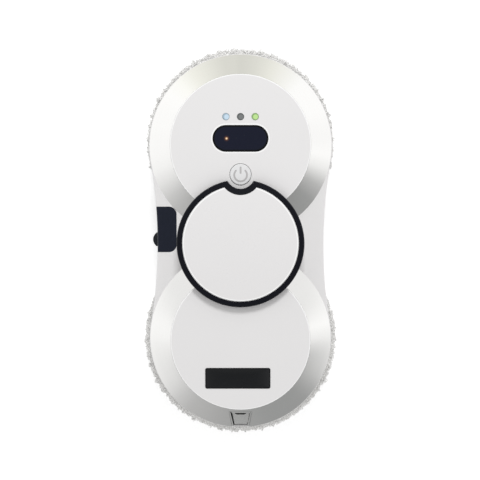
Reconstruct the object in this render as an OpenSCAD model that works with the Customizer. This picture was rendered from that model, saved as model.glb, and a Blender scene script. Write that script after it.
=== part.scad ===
// Window cleaning robot: a two-lobed white shell on two spinning mop discs, with a suction fan between them.
// It lies on its pads as on a level pane: Z is up from the glass, +Y runs to the lobe with the power button
// (front), and -Y to the lobe with the spray nozzle (rear). Sizes are in millimetres, angles in degrees.

/* [Shell outline] */
// Distance between the centres of the two round lobes of the shell
lobe_pitch = 141; // [139:0.5:143]
// Radius of a lobe, measured at the rim
lobe_r = 67; // [66:0.5:68]
// Width of the shell across its waist, measured at the rim
waist_w = 122; // [120.5:0.5:124]
// Outward lean of the side wall, from the rim down to the base, in degrees
wall_lean = 4.5; // [3:0.5:6]
// Height of the base's underside above the glass
base_z = 14.5; // [14:0.25:16]
// Height of the seam between the base and the top cover
split_z = 30; // [29:0.25:31]
// Height of the rim, where the side wall ends
rim_z = 46; // [45.5:0.25:47]
// Height of the flat plateau on each lobe
plateau_z = 59; // [58.5:0.25:60]
// Radius of the plateau
plateau_r = 50.7; // [50:0.1:52]
// Wall thickness of the moulded shells
shell_t = 2.4; // [2:0.1:2.8]
// Rounding of the base's lower edge
base_round = 2.5; // [1:0.25:3]
// Rounding of the rim
rim_round = 0.8; // [0.4:0.1:1.2]

/* [Trim rings] */
// Thickness of a silver trim ring, measured upright
trim_t = 1.8; // [1.4:0.1:2.2]
// Width of the bare rim left outside a trim ring
trim_inset = 0.4; // [0.3:0.1:1]
// How far a plateau stands proud of its trim ring
plateau_step = 0.3; // [0.1:0.05:0.5]

/* [Fan tower] */
// Outer radius of the black exhaust ring and of the tower under it
tower_r = 45.8; // [45.5:0.1:46.5]
// Width of the black exhaust ring, seen from above
ring_w = 3.8; // [3.4:0.1:4.2]
// Height of the exhaust ring above the plateau
ring_h = 5.5; // [5:0.25:6.5]
// Thickness of the exhaust ring's top flange
ring_flange_t = 2.2; // [1.8:0.1:2.6]
// Number of posts in the air gap of the exhaust ring
ring_posts = 36; // [24:1:48]
// Crown of the round fan cover at its middle
cover_crown = 1; // [0.6:0.1:1.4]
// Thickness of the fan cover at its edge
cover_t = 2; // [1.8:0.1:2.4]
// Width of the black ring where it bends round the power button
notch_w = 4.3; // [3.8:0.1:4.6]

/* [Controls] */
// Distance from the middle of the robot to the power button
button_y = 49.5; // [48.8:0.1:49.8]
// Radius of the power button's cap
button_r = 7.6; // [7.2:0.1:7.8]
// Radius of the bare plateau left around the power button
button_clear_r = 10.4; // [10:0.1:10.8]
// How far the power button travels when it is pressed
button_travel = 0.8; // [0.5:0.1:1]
// How far the button stands above the plateau
button_proud = 0.4; // [0.2:0.1:0.8]
// Distance from the middle of the robot to the dark sensor window
window_y = 75.3; // [74.5:0.1:76]
// Length of the sensor window
window_l = 39.9; // [38:0.1:41]
// Width of the sensor window
window_w = 18.8; // [18:0.1:19.6]
// Distance from the middle of the robot to the row of status lights
lights_y = 90.8; // [90:0.1:91.5]
// Spacing of the status lights
lights_pitch = 10.5; // [10:0.1:11]
// Radius of a status light
light_r = 2.45; // [2.2:0.05:2.7]

/* [Mop discs] */
// Distance between the axes of the two mop discs
disc_pitch = 151; // [150.5:0.25:152]
// Thickness of a mop disc plate
disc_t = 3; // [2.6:0.1:3.2]
// Outer radius of a mop pad, over its pile
pad_r = 74.5; // [74:0.1:74.8]
// How far a mop pad reaches out past the edge of its disc
pad_over = 5.5; // [5:0.25:6]
// Width of the band of pile on the glass, from the pad's hole to its edge
pad_band = 30.5; // [29.5:0.25:31]
// Thickness of the pad between disc and glass
pad_t = 8; // [7.8:0.1:8.2]
// Width of the pad's lip over the top of the disc
pad_lip_w = 8; // [6:0.5:9]
// Thickness of the pad's lip
pad_lip_t = 1.7; // [1.4:0.1:1.9]
// Height of the ring under the disc that the pad is centred on
locating_h = 4; // [3:0.25:4.5]
// Radius of the hub of a mop disc
hub_r = 10; // [9:0.25:11]
// Number of air slots in a mop disc
disc_vents = 8; // [6:1:10]

/* [Drive] */
// Pitch radius of the large gear on a mop axle
gear_r = 28.5; // [28:0.1:29]
// Teeth of the large gear on a mop axle
gear_teeth = 57; // [55:1:57]
// Teeth of a motor pinion
pinion_teeth = 15; // [14:1:16]
// Face width of the large gear
gear_t = 5; // [4:0.25:5.5]
// Radius of a mop axle
axle_r = 4; // [3.75:0.05:4.25]
// Radius of a drive motor
motor_r = 12.5; // [12:0.25:13]
// Length of a drive motor's can
motor_l = 22; // [20:0.5:23]
// Radius of a drive motor's output shaft
motor_shaft_r = 1.5; // [1.25:0.05:1.75]

/* [Suction fan] */
// Radius of the impeller
impeller_r = 33; // [32:0.25:33.5]
// Distance from the impeller's edge to the outer wall of the fan housing
fan_margin = 5; // [4.5:0.1:5.5]
// Height of the impeller's blades
blade_h = 11; // [10:0.25:11.5]
// Number of impeller blades
blades = 9; // [7:1:11]
// Radius of the air inlet under the impeller
inlet_r = 15; // [14:0.25:17]
// Radius of the fan motor
fan_motor_r = 13.5; // [12.5:0.25:14.5]

/* [Water] */
// Length of the dark tank window along the waist
tank_l = 33.2; // [32:0.1:34]
// Depth of the tank window, in from the waist's edge
tank_w = 13.9; // [13.6:0.1:14.2]
// Distance of the tank window's middle from the middle of the robot
tank_y = 9.6; // [9.2:0.1:10]
// Rounding of the tank window's inner corners
tank_corner_r = 5.5; // [4.5:0.25:6.5]
// Wall thickness of the water tank
tank_wall = 1.5; // [1.3:0.1:1.7]
// Radius of the tank's filler hole
filler_r = 3.5; // [3.2:0.1:3.8]
// Radius of the plug's pull tab, seen from above
tab_r = 6.15; // [5.8:0.05:6.4]
// Width of the spray recess at its inner edge
nozzle_w = 14.3; // [13.5:0.1:15]
// Width of the spray recess at the rim
nozzle_rim_w = 10; // [9.5:0.1:11]
// Distance of the recess's inner edge from the plateau's edge
nozzle_gap = 3.2; // [3:0.1:3.6]

/* [Electrics] */
// Radius of a backup battery cell
cell_r = 7; // [6.75:0.05:7.1]
// Length of a backup battery cell
cell_l = 43; // [41:0.5:43]
// Radius of the hole that a power plug goes into
jack_bore_r = 2.8; // [2.7:0.05:3]
// Radius of the power jack's centre pin
jack_pin_r = 1.05; // [0.95:0.05:1.15]
// Thickness of the control board
board_t = 1.6; // [1.2:0.1:1.8]

/* [Hidden] */
$fn = 96;

// Fits and overruns
cut = 1;              // how far a cutting solid runs past the face that it cuts
fit = 0.15;           // gap between two fixed pieces, on each side
slip = 0.02;          // gap round a pin or bush that is pressed in place
running = 0.05;       // gap round a turning axle
soft_gap = 0.3;       // gap round a soft piece
trim_seam = 0.05;     // gap between a plateau and its trim ring

// Shell outline: two lobes joined by shallow hollow waists. A waist circle runs a hair into the lobes.
lobe_y = lobe_pitch / 2;
blend = 0.05;
waist_r = (pow(waist_w / 2, 2) + pow(lobe_y, 2) - pow(lobe_r, 2)) / (2 * lobe_r - waist_w);
waist_x = sqrt(pow(lobe_r + waist_r - blend, 2) - pow(lobe_y, 2));
tangent_y = lobe_y * waist_r / (lobe_r + waist_r);
round_pitch = 0.5;    // length of one flat of a rounded edge
floor_z = base_z + shell_t;
lip_h = 2;            // height of the base's inner lip above the seam
lip_t = 1.2;          // thickness of that lip
seam_round = 0.4;     // small rounding on both sides of the seam

// Domes and trim rings
trim_r = lobe_r - trim_inset;
trim_top_z = plateau_z - plateau_step;
trim_inner_r = plateau_r + trim_seam;
dome_run = (trim_r - trim_inner_r) / (trim_top_z - rim_z);
ceiling_z = plateau_z - shell_t;

// Housing screws: a short tube in the base and a boss in the cover at each place
screw_inset = 9;
screw_angles = [-116, -23, 23, 116];
screw_ring_r = lobe_r - screw_inset;
screw_r = 1.4;
screw_head_r = 2.9;
screw_head_t = 2;
screw_seat_t = 3;     // thickness of the tube's end, which the head pulls on
screw_bite = 9;
boss_r = 3.8;
tube_r = 4.4;
screw_seat_z = split_z - screw_seat_t;

// Fan tower
ledge_w = 3.7;        // width of the tower's ledge inside the exhaust ring
ring_base_t = 1.2;
ring_post_w = 1.6;
ring_top_z = plateau_z + ring_h;
ring_edge_round = 0.6;
notch_inner_r = button_clear_r + notch_w;
cover_foot_r = 1.4;
cover_feet = 6;
cover_gap = 0.2;      // gap between the fan cover and the exhaust ring
cover_edge = 0.7;
crown_steps = 8;
cover_r = tower_r - ring_w - cover_gap;
tower_hole_r = tower_r - ring_w - ledge_w;
tower_hole_notch_r = notch_inner_r + ledge_w;
notch_post_angle = 18;  // half of the angle that the bend takes, seen from the middle of the ring
notch_post_pitch = 16;  // angle between two posts in the bend, seen from the button
notch_post_pairs = 2;

// Controls
button_fit = 0.35;
button_flange_w = 1.2;
button_flange_t = 1.6;
button_play = 0.1;    // gap between the button's flange and the cover
button_stem_r = 2.2;
button_edge = 0.4;
board_drop = 11.4;    // from the plateau down to the top of the control board
board_left = 21;
board_right = 31;
board_margin_rear = 7.3;
board_margin_front = 8.2;
board_y0 = button_y - board_margin_rear;
board_y1 = lights_y + board_margin_front;
board_top_z = plateau_z - board_drop;
board_z = board_top_z - board_t;
board_screw_inset = 3.5;
board_screw_r = 1.1;
board_screw_bite = 5;
board_boss_r = 2.6;
switch_w = 6;
switch_h = 3.6;
plunger_r = 1.7;
plunger_h = 0.8;
plunger_depth = 1.2;
light_chip_h = 0.9;
light_proud = 0.2;
light_flange_w = 0.8;
light_flange_t = 1;
window_proud = 0.3;
window_flange_w = 1;
lamp_r = 1.5;
lamp_x = -10.3;
lamp_gap = 0.6;       // gap between the lamp or the receiver and the window
receiver_x = 8;
receiver_w = 7;
receiver_l = 6;
receiver_dome_r = 2.4;
buzzer_r = 6;
buzzer_h = 5;
buzzer_x = 22;
buzzer_hole_r = 1;
chip_x = 15;
chip_w = 10;
chip_t = 1.4;
plug_socket_l = 12;
plug_socket_w = 5;
plug_socket_h = 4;
plug_sockets = 3;

// Mop discs
disc_y = disc_pitch / 2;
disc_r = pad_r - pad_over;
pad_hole_r = pad_r - pad_band;
disc_top_z = pad_t + disc_t;
hub_gap = 0.6;        // gap between the hub and the base
hub_top_z = base_z - hub_gap;
hub_floor_t = 2.5;
locating_w = 2.5;
rib_inset = 13;       // from the disc's edge in to the rib on its upper face
rib_r = disc_r - rib_inset;
rib_w = 2;
rib_h = 1.2;
vent_r0 = 14;
vent_r1 = 30;
vent_spoke = 9;       // angle that a spoke takes
hub_screw_head_r = 6.5;
hub_screw_head_t = 2;
hub_screw_r = 1.8;
hub_screw_l = 12;
seal_r = 35.5;
seal_w = 3;
pad_edge = 1.2;
pad_round = 3.5;
pad_shoulder = 2.5;
pad_steps = 4;

// Drive
pressure_angle = 25;
backlash = 0.16;
flank_steps = 4;
gear_module = 2 * gear_r / gear_teeth;
pinion_r = gear_module * pinion_teeth / 2;
drive_distance = gear_r + pinion_r;
bush_wall = 3;
bush_flange_w = 2;
bush_flange_t = 1;
bush_r = axle_r + bush_wall;
bearing_wall = 4;
bearing_h = 4;
bearing_boss_r = bush_r + bearing_wall;
bearing_top_z = floor_z + bearing_h;
gear_gap = 0.4;       // gap between the bush's flange and the gear
gear_z = bearing_top_z + bush_flange_t + gear_gap;
gear_hub_r = 9;
gear_hub_h = 2;
axle_top_z = gear_z + gear_t + gear_hub_h;
pinion_over = 0.5;    // how far the pinion stands past the gear on each side
bracket_t = 2;
bracket_gap = 1;
bracket_z = gear_z + gear_t + pinion_over + bracket_gap;
bracket_arm = 19;
bracket_w = 12;
bracket_post_r = 3.2;
bracket_screw_r = 1.1;
bracket_screw_bite = 6;
small_head_r = 2.2;
small_head_t = 1.3;
motor_pilot_r = 3.5;
motor_z = bracket_z + bracket_t;
motor_pilot_gap = 0.1;
gearbox_h = 6;
gearbox_step = 0.8;
motor_cap_r = 4;
motor_cap_h = 1.5;
addendum_share = 1;
dedendum_share = 1.25;
axle_flat = 0.8;
axle_flat_gap = 0.05;
lightening_holes = 6;
lightening_r = 4.5;
lightening_ring_r = 17.5;
gear_turn = gear_teeth % 2 == 0 ? 180 / gear_teeth : 0;
floor_rib_t = 1.6;
floor_rib_r = 33;

// Suction fan
fan_r = impeller_r + fan_margin;
fan_wall = 1.8;
fan_post_h = 3;
fan_roof_gap = 1.8;
fan_z = floor_z + fan_post_h;
fan_top_z = ceiling_z - fan_roof_gap;
fan_step = 1.2;
impeller_gap = 2.4;
impeller_z = fan_z + fan_wall + impeller_gap;
impeller_plate_t = 1.5;
impeller_hub_r = 6;
blade_t = 1.4;
blade_r0 = 11;
blade_sweep = 62;
blade_steps = 7;
fan_shaft_r = 1.5;
impeller_top_gap = 2.2;
diffuser_z = impeller_z + blade_h + impeller_plate_t + impeller_top_gap;
diffuser_t = 2;
diffuser_hub_r = 19;
diffuser_ring_w = 2.4;
diffuser_vanes = 11;
diffuser_vane_t = 1.6;
diffuser_vane_h = 5;
diffuser_pocket = 1;
fan_motor_h = 12;
fan_lug_angles = [20, 140, 260];
fan_lug_r = 3.8;
fan_lug_t = 3;
fan_lug_reach = 3.6;
fan_screw_r = 1.1;
fan_screw_bite = 2.4;
fan_shaft_depth = 9;

// Water
tank_top_proud = 0.2;
tank_inset = 4.2;     // how far the hidden part of the tank stays inside the shell's outer face
tank_hidden_l = 56;
tank_inner_x = -42.5;
tank_roof_gap = 0.6;
tank_x = tank_w - waist_w / 2;
window_foot_gap = 1;
window_foot_z = split_z + lip_h + window_foot_gap;
plug_z = 38.5;
plug_y = 2;
plug_seat_depth = 1;
plug_seat_gap = 0.1;
plug_seat_x = -(waist_w / 2 + lean(plug_z) - plug_seat_depth);
plug_flange_r = 5;
plug_flange_t = 1.2;
plug_l = 4;
tab_t = 2.4;
tab_reach = 3.3;      // how far the tab reaches out past the shell's side
nozzle_in_y = -(lobe_y + plateau_r + nozzle_gap);
nozzle_end_inset = 1.4;
nozzle_end_y = -(lobe_y + lobe_r - nozzle_end_inset);
nozzle_depth = 3.4;
nozzle_wall = 1.2;
nozzle_notch_drop = 5;
nozzle_notch_z = rim_z - nozzle_notch_drop;
jet_w = 7.8;
jet_front_w = 5.6;
jet_t = 1.1;
jet_h = 2.6;
jet_hole_r = 0.5;
jet_gap = 0.1;
jet_body_w = 6;
jet_body_l = 5;
jet_body_h = 4;
jet_body_front = 1.1; // how far the body under the floor stands forward of the recess's inner edge
barb_r = 1.6;
barb_l = 5;
hose_r = 2;
hose_sides = 8;
hose_steps = 3;
hose_route = [
    [-45.7, -41.9, 30], [-44.8, -43.5, 30], [-43.8, -49, 31.5], [-44.4, -58, 34], [-45, -70, 36.5],
    [-45, -84, 39.5], [-43.5, -97, 42.5], [-36.5, -108.5, 45.5], [-27, -114.8, 47.5], [-18.5, -118.3, 48.3],
    [-12.5, -121.8, 48.5], [-8.2, -122.4, 48.5]
];
pump_r = 8;
pump_h = 18;
pump_x = -52;
pump_y = -31;
pump_turn = -60;      // direction that the pump's outlet points in
pump_port_r = 1.6;
pump_port_l = 4.2;
pump_port_z = 30;
pump_inlet_z = 22;
pump_cap_r = 6.8;
pump_cap_h = 2;

// Electrics
jack_y = 8;
jack_z = 23;
jack_r = 4.4;
jack_recess = 0.6;
jack_depth = 9.5;
jack_pin_l = 9;
jack_wall_gap = 0.3;
jack_half = jack_z - floor_z;
jack_x = waist_w / 2 + lean(jack_z) - jack_recess;
jack_shoulder_x = waist_w / 2 + lean(jack_z + jack_half) - shell_t - jack_wall_gap;
cell_count = 4;
cell_gap = 0.3;
cell_cap_r = 2.6;
cell_cap_h = 0.7;
tray_wall = 1.2;
tray_h = 12;
tray_gap_over_axle = 1.6;
tray_z = axle_top_z + tray_gap_over_axle;
tray_l = cell_l + cell_cap_h + 2 * cell_gap + 2 * tray_wall;
tray_w = cell_count * (2 * cell_r + cell_gap) + cell_gap + 2 * tray_wall;
tray_right = 20.4;
tray_x = tray_right - tray_w / 2;
tray_y = -disc_y;
tray_lug_r = 3.6;
tray_lug_x = 22;
tray_lug_out = 2.6;   // how far the middle of a lug lies outside the tray's end wall
tray_lug_t = 2.4;
tray_lug_z = tray_z + tray_h - tray_lug_t;

// Colours
white_shell = [0.91, 0.91, 0.91];
silver = [0.72, 0.72, 0.71];
black = [0.09, 0.10, 0.12];
dark_blue = [0.15, 0.16, 0.21];
pale_grey = [0.78, 0.79, 0.80];
steel = [0.66, 0.67, 0.70];
brass = [0.78, 0.62, 0.32];
board_green = [0.11, 0.36, 0.22];
wool = [0.88, 0.88, 0.85];
cell_blue = [0.20, 0.42, 0.66];
pale_blue = [0.76, 0.86, 0.93];
mid_grey = [0.48, 0.50, 0.50];
pale_green = [0.70, 0.93, 0.55];
amber = [0.95, 0.55, 0.25];

// How far the side wall stands outside the rim's outline at height z
function lean(z) = (rim_z - z) * tan(wall_lean);

// Number of flats that a rounded edge of radius r is made of
function flats(r) = max(1, ceil(r / round_pitch));

// The side wall from z0 up to z1 as [offset from the outline, height] points, with its two edges rounded
function wall_line(z0, z1, low, high, inset) = concat(
    low > 0
        ? [for (i = [0:flats(low)]) let (a = 90 * i / flats(low))
            [lean(z0 + low) - inset - low * (1 - sin(a)), z0 + low * (1 - cos(a))]]
        : [[lean(z0) - inset, z0]],
    high > 0
        ? [for (i = [0:flats(high)]) let (a = 90 * i / flats(high))
            [lean(z1 - high) - inset - high * (1 - cos(a)), z1 - high * (1 - sin(a))]]
        : [[lean(z1) - inset, z1]]
);

// A solid of the shell's outline from z0 to z1, drawn in by inset
module shell_form(z0, z1, low = 0, high = 0, inset = 0) {
    line = wall_line(z0, z1, low, high, inset);
    first = line[0];
    last = line[len(line) - 1];
    for (side = [-1, 1])
        translate([0, side * lobe_y, 0])
            rotate_extrude($fn = 180)
                polygon(concat([[0, z0]], [for (p = line) [lobe_r + p[0], p[1]]], [[0, z1]]));
    difference() {
        translate([-lobe_r - base_round, -tangent_y, z0])
            cube([2 * (lobe_r + base_round), 2 * tangent_y, z1 - z0]);
        for (side = [-1, 1])
            translate([side * waist_x, 0, 0])
                rotate_extrude($fn = 256)
                    polygon(concat(
                        [[0, z0 - cut], [waist_r - first[0], z0 - cut]],
                        [for (p = line) [waist_r - p[0], p[1]]],
                        [[waist_r - last[0], z1 + cut], [0, z1 + cut]]));
    }
}

// Height of the trim ring's outer face at radius r from a lobe's centre
function dome_z(r) = trim_top_z - (r - trim_inner_r) / dome_run;

// Place things at every housing screw
module at_screws() {
    for (side = [0, 180], angle = screw_angles)
        rotate([0, 0, side])
            translate([screw_ring_r * sin(angle), lobe_y + screw_ring_r * cos(angle), 0])
                children();
}

// A slice of a ring, centred on +X
module ring_sector(r0, r1, z0, z1, angle) {
    rotate([0, 0, -angle / 2])
        rotate_extrude(angle = angle)
            translate([r0, z0])
                square([r1 - r0, z1 - z0]);
}

// Rows of sectors round a hub, cut as air slots
module air_slots(count, z0, z1) {
    for (i = [0:count - 1])
        rotate([0, 0, 360 * (i + 0.5) / count])
            ring_sector(vent_r0, vent_r1, z0, z1, 360 / count - vent_spoke);
}

// Upright cylinder from z0 to z1
module pillar(r, z0, z1) {
    translate([0, 0, z0])
        cylinder(r = r, h = z1 - z0);
}

// Upright prism of a flat outline, from z0 to z1
module prism(z0, z1) {
    translate([0, 0, z0])
        linear_extrude(z1 - z0)
            children();
}

// Flat pill shape, l long and w wide
module pill(l, w) {
    square([l - w, w], center = true);
    for (side = [-1, 1])
        translate([side * (l - w) / 2, 0])
            circle(r = w / 2);
}

// Box in plan with its corners rounded by r
module round_box(w, l, r) {
    square([w - 2 * r, l], center = true);
    square([w, l - 2 * r], center = true);
    for (x = [-1, 1], y = [-1, 1])
        translate([x * (w / 2 - r), y * (l / 2 - r)])
            circle(r = r);
}

// Countersunk place for a screw: the screw itself, head down, with its head's upper face at z
module screw(r, head_r, head_t, length, z) {
    pillar(head_r, z - head_t, z);
    pillar(r, z - head_t / 2, z + length);
}

// Front mop drive and front lobe
module at_front() {
    translate([0, disc_y, 0])
        children();
}

// The rear drive is the front one, turned half a turn
module at_rear() {
    rotate([0, 0, 180])
        at_front()
            children();
}

module at_motor() {
    translate([-drive_distance, 0, 0])
        children();
}

module at_bracket_posts() {
    at_motor()
        for (side = [-1, 1])
            translate([0, side * bracket_arm, 0])
                children();
}

module at_board_corners() {
    for (x = [-board_left + board_screw_inset, board_right - board_screw_inset],
         y = [board_y0 + board_screw_inset, board_y1 - board_screw_inset])
        translate([x, y, 0])
            children();
}

module at_tray_lugs() {
    for (x = [-1, 1], y = [-1, 1])
        translate([tray_x + x * tray_lug_x, tray_y + y * (tray_l / 2 + tray_lug_out), 0])
            children();
}

module at_fan_lugs() {
    for (angle = fan_lug_angles)
        rotate([0, 0, angle])
            translate([fan_r + fan_lug_reach, 0, 0])
                children();
}

// Top cover, base and trim
// The seat under a trim ring, with the plateau on it. drop thins it all over, for the hollow inside.
module dome_solid(drop, r_in, z_bottom) {
    top = plateau_z - drop;
    seat_top = trim_top_z - trim_t - fit - drop;
    foot_r = trim_r - (trim_t + fit + drop) * dome_run;
    rotate_extrude($fn = 180)
        polygon([
            [0, z_bottom], [foot_r, z_bottom], [foot_r, rim_z], [trim_inner_r, seat_top],
            [r_in, seat_top], [r_in, top - plateau_step], [r_in - plateau_step, top], [0, top]
        ]);
}

module at_lobes() {
    for (side = [-1, 1])
        translate([0, side * lobe_y, 0])
            children();
}

module cover_outside() {
    shell_form(split_z, rim_z, seam_round, rim_round);
    at_lobes()
        dome_solid(0, plateau_r, rim_z - shell_t);
    translate([0, 0, split_z + lip_h])
        cylinder(r = tower_r, h = plateau_z - split_z - lip_h, $fn = 180);
}

// The hollow of the cover, with its bosses left standing in it
module cover_inside() {
    difference() {
        union() {
            shell_form(split_z - cut, rim_z - shell_t, 0, 0, shell_t);
            at_lobes()
                dome_solid(shell_t, plateau_r - shell_t, rim_z - 2 * shell_t);
            pillar(tower_r - shell_t, rim_z - 2 * shell_t, ceiling_z);
        }
        at_screws()
            pillar(boss_r, split_z, plateau_z);
        at_board_corners()
            pillar(board_boss_r, board_top_z, plateau_z);
        at_tray_lugs()
            pillar(tray_lug_r, tray_lug_z + tray_lug_t, plateau_z);
    }
    shell_form(split_z - cut, split_z + lip_h + fit, 0, 0, shell_t - lip_t - fit);
}

// Outline of the fan tower's parts seen from above, bent inwards round the power button
module tower_outline(r, notch_r) {
    difference() {
        circle(r = r, $fn = 180);
        translate([0, button_y])
            circle(r = notch_r);
    }
}

// Plan of the spray recess, grown sideways and inwards
module nozzle_plan(grow, end_y) {
    polygon([
        [-nozzle_w / 2 - grow, nozzle_in_y + grow], [nozzle_w / 2 + grow, nozzle_in_y + grow],
        [nozzle_rim_w / 2 + grow, end_y], [-nozzle_rim_w / 2 - grow, end_y]
    ]);
}

// Plan of the tank's window in the waist
module tank_plan(grow) {
    inner = tank_x + grow;
    corner = tank_corner_r + grow;
    out = waist_w;
    half = tank_l / 2 + grow;
    translate([0, tank_y]) {
        translate([-out, -half])
            square([inner - corner + out, 2 * half]);
        translate([inner - 2 * corner, corner - half])
            square([2 * corner, 2 * (half - corner)]);
        for (side = [-1, 1])
            translate([inner - corner, side * (half - corner)])
                circle(r = corner);
    }
}

module top_cover() {
    color(white_shell)
        difference() {
            cover_outside();
            cover_inside();
            prism(ceiling_z - cut, plateau_z + cut)
                tower_outline(tower_hole_r, tower_hole_notch_r);
            translate([0, button_y, 0])
                pillar(button_r + button_fit, ceiling_z - cut, plateau_z + cut);
            prism(ceiling_z - cut, plateau_z + cut)
                translate([0, window_y])
                    pill(window_l + 2 * fit, window_w + 2 * fit);
            for (i = [-1:1])
                translate([i * lights_pitch, lights_y, 0])
                    pillar(light_r + fit, ceiling_z - cut, plateau_z + cut);
            at_screws()
                pillar(screw_r + slip, split_z - cut, screw_seat_z + screw_seat_t + screw_bite + fit);
            at_board_corners()
                pillar(board_screw_r + slip, board_top_z - cut, ceiling_z - board_t);
            at_tray_lugs()
                pillar(board_screw_r + slip, tray_lug_z, ceiling_z - board_t);
            prism(window_foot_z - fit, rim_z + cut)
                tank_plan(fit);
            prism(nozzle_notch_z, plateau_z + cut)
                nozzle_plan(nozzle_wall + fit, nozzle_end_y);
            prism(nozzle_notch_z, plateau_z + cut)
                translate([-nozzle_rim_w / 2, nozzle_end_y - lobe_r])
                    square([nozzle_rim_w, lobe_r + cut]);
        }
}

// The hollow of the base, with its tubes, posts and ribs left standing in it
module base_inside() {
    difference() {
        shell_form(floor_z, split_z + lip_h + cut, 0, 0, shell_t);
        at_screws()
            pillar(tube_r, base_z, split_z);
        for (side = [0, 180])
            rotate([0, 0, side])
                at_front() {
                    pillar(bearing_boss_r, base_z, bearing_top_z);
                    for (i = [0:disc_vents - 1])
                        rotate([0, 0, 360 * i / disc_vents])
                            translate([0, -floor_rib_t / 2, base_z])
                                cube([floor_rib_r, floor_rib_t, bearing_top_z - bush_flange_t - base_z]);
                    at_bracket_posts()
                        pillar(bracket_post_r, base_z, bracket_z);
                }
        at_fan_lugs()
            pillar(fan_lug_r, base_z, fan_z);
    }
}

module base_housing() {
    bracket_hole_z = bracket_z - bracket_screw_bite - fit;
    color(white_shell)
        difference() {
            union() {
                shell_form(base_z, split_z, base_round, seam_round);
                shell_form(floor_z, split_z + lip_h, 0, 0, shell_t - lip_t);
            }
            base_inside();
            for (side = [0, 180])
                rotate([0, 0, side])
                    at_front() {
                        pillar(bush_r + slip, base_z - cut, bearing_top_z + cut);
                        air_slots(disc_vents, base_z - cut, floor_z);
                        at_bracket_posts()
                            pillar(bracket_screw_r + slip, bracket_hole_z, bracket_z + cut);
                    }
            at_screws() {
                pillar(screw_head_r + fit, base_z - cut, screw_seat_z);
                pillar(screw_r + fit, base_z, split_z + cut);
            }
            at_fan_lugs()
                pillar(fan_screw_r + slip, fan_z - fan_screw_bite - fit, fan_z + cut);
            translate([jack_shoulder_x, jack_y, jack_z])
                rotate([0, 90, 0])
                    cylinder(r = jack_r + fit, h = jack_depth);
        }
}

// Conical trim ring: a band of the dome's surface, cut away under the tower
module trim_ring_form() {
    difference() {
        translate([0, lobe_y, 0])
            rotate_extrude($fn = 180)
                polygon([
                    [trim_inner_r, trim_top_z - trim_t], [trim_r - trim_t * dome_run, rim_z],
                    [trim_r, rim_z], [trim_inner_r, trim_top_z]
                ]);
        translate([0, 0, rim_z - cut])
            cylinder(r = tower_r + fit, h = plateau_z - rim_z + 2 * cut, $fn = 180);
    }
}

module front_trim_ring() {
    color(silver)
        trim_ring_form();
}

module rear_trim_ring() {
    color(silver)
        difference() {
            rotate([0, 0, 180])
                trim_ring_form();
            prism(rim_z - cut, plateau_z + cut)
                nozzle_plan(nozzle_wall + fit, nozzle_end_y - nozzle_end_inset);
        }
}

// Fan tower
module ring_outline() {
    difference() {
        tower_outline(tower_r, button_clear_r);
        tower_outline(tower_r - ring_w, notch_inner_r);
    }
}

module ring_post_lines() {
    for (i = [0:ring_posts - 1]) {
        angle = 90 + 360 * (i + 0.5) / ring_posts;
        if (angle > 90 + notch_post_angle && angle < 450 - notch_post_angle)
            rotate(angle)
                translate([0, -ring_post_w / 2])
                    square([tower_r, ring_post_w]);
    }
    for (i = [-notch_post_pairs:notch_post_pairs])
        translate([0, button_y])
            rotate(270 + i * notch_post_pitch)
                translate([0, -ring_post_w / 2])
                    square([notch_inner_r, ring_post_w]);
}

module exhaust_ring() {
    flange_z = ring_top_z - ring_flange_t;
    e = ring_edge_round;
    color(black) {
        prism(plateau_z, plateau_z + ring_base_t)
            ring_outline();
        prism(plateau_z + ring_base_t / 2, flange_z + ring_flange_t / 2)
            intersection() {
                ring_outline();
                ring_post_lines();
            }
        intersection() {
            prism(flange_z, ring_top_z)
                ring_outline();
            rotate_extrude($fn = 180)
                polygon(concat(
                    [[0, flange_z], [tower_r, flange_z]],
                    [for (i = [0:flats(e)]) let (a = 90 * i / flats(e))
                        [tower_r - e * (1 - cos(a)), ring_top_z - e * (1 - sin(a))]],
                    [[0, ring_top_z]]));
        }
    }
}

// Round lid over the fan, crowned like a shallow bowl turned over: z falls with the square of the radius
module fan_cover() {
    under_z = ring_top_z - cover_t;
    side = [[0, under_z], [cover_r, under_z], [cover_r, ring_top_z - cover_edge]];
    crown = [for (i = [0:crown_steps]) let (share = 1 - i / crown_steps)
        [(cover_r - cover_edge) * share, ring_top_z + cover_crown * (1 - pow(share, 2))]];
    color(white_shell) {
        intersection() {
            rotate_extrude($fn = 180)
                polygon(concat(side, crown));
            prism(under_z, ring_top_z + cover_crown)
                tower_outline(cover_r + cut, notch_inner_r + cover_gap);
        }
        for (i = [0:cover_feet - 1])
            rotate([0, 0, 360 * i / cover_feet])
                translate([tower_hole_r + ledge_w / 2, 0, 0])
                    pillar(cover_foot_r, plateau_z, under_z + cover_t / 2);
    }
}

// Controls
module sensor_window() {
    color(dark_blue)
        translate([0, window_y, 0]) {
            prism(ceiling_z - window_flange_w / 2, plateau_z + window_proud)
                pill(window_l, window_w);
            prism(ceiling_z - window_flange_w, ceiling_z)
                pill(window_l + 2 * window_flange_w, window_w + 2 * window_flange_w);
        }
}

module status_light_form(place) {
    translate([place * lights_pitch, lights_y, 0]) {
        pillar(light_r, board_top_z + light_chip_h, plateau_z + light_proud);
        pillar(light_r + light_flange_w, ceiling_z - light_flange_t, ceiling_z);
    }
}

module left_status_light() {
    color(pale_blue)
        status_light_form(-1);
}

module middle_status_light() {
    color(mid_grey)
        status_light_form(0);
}

module right_status_light() {
    color(pale_green)
        status_light_form(1);
}

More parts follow.
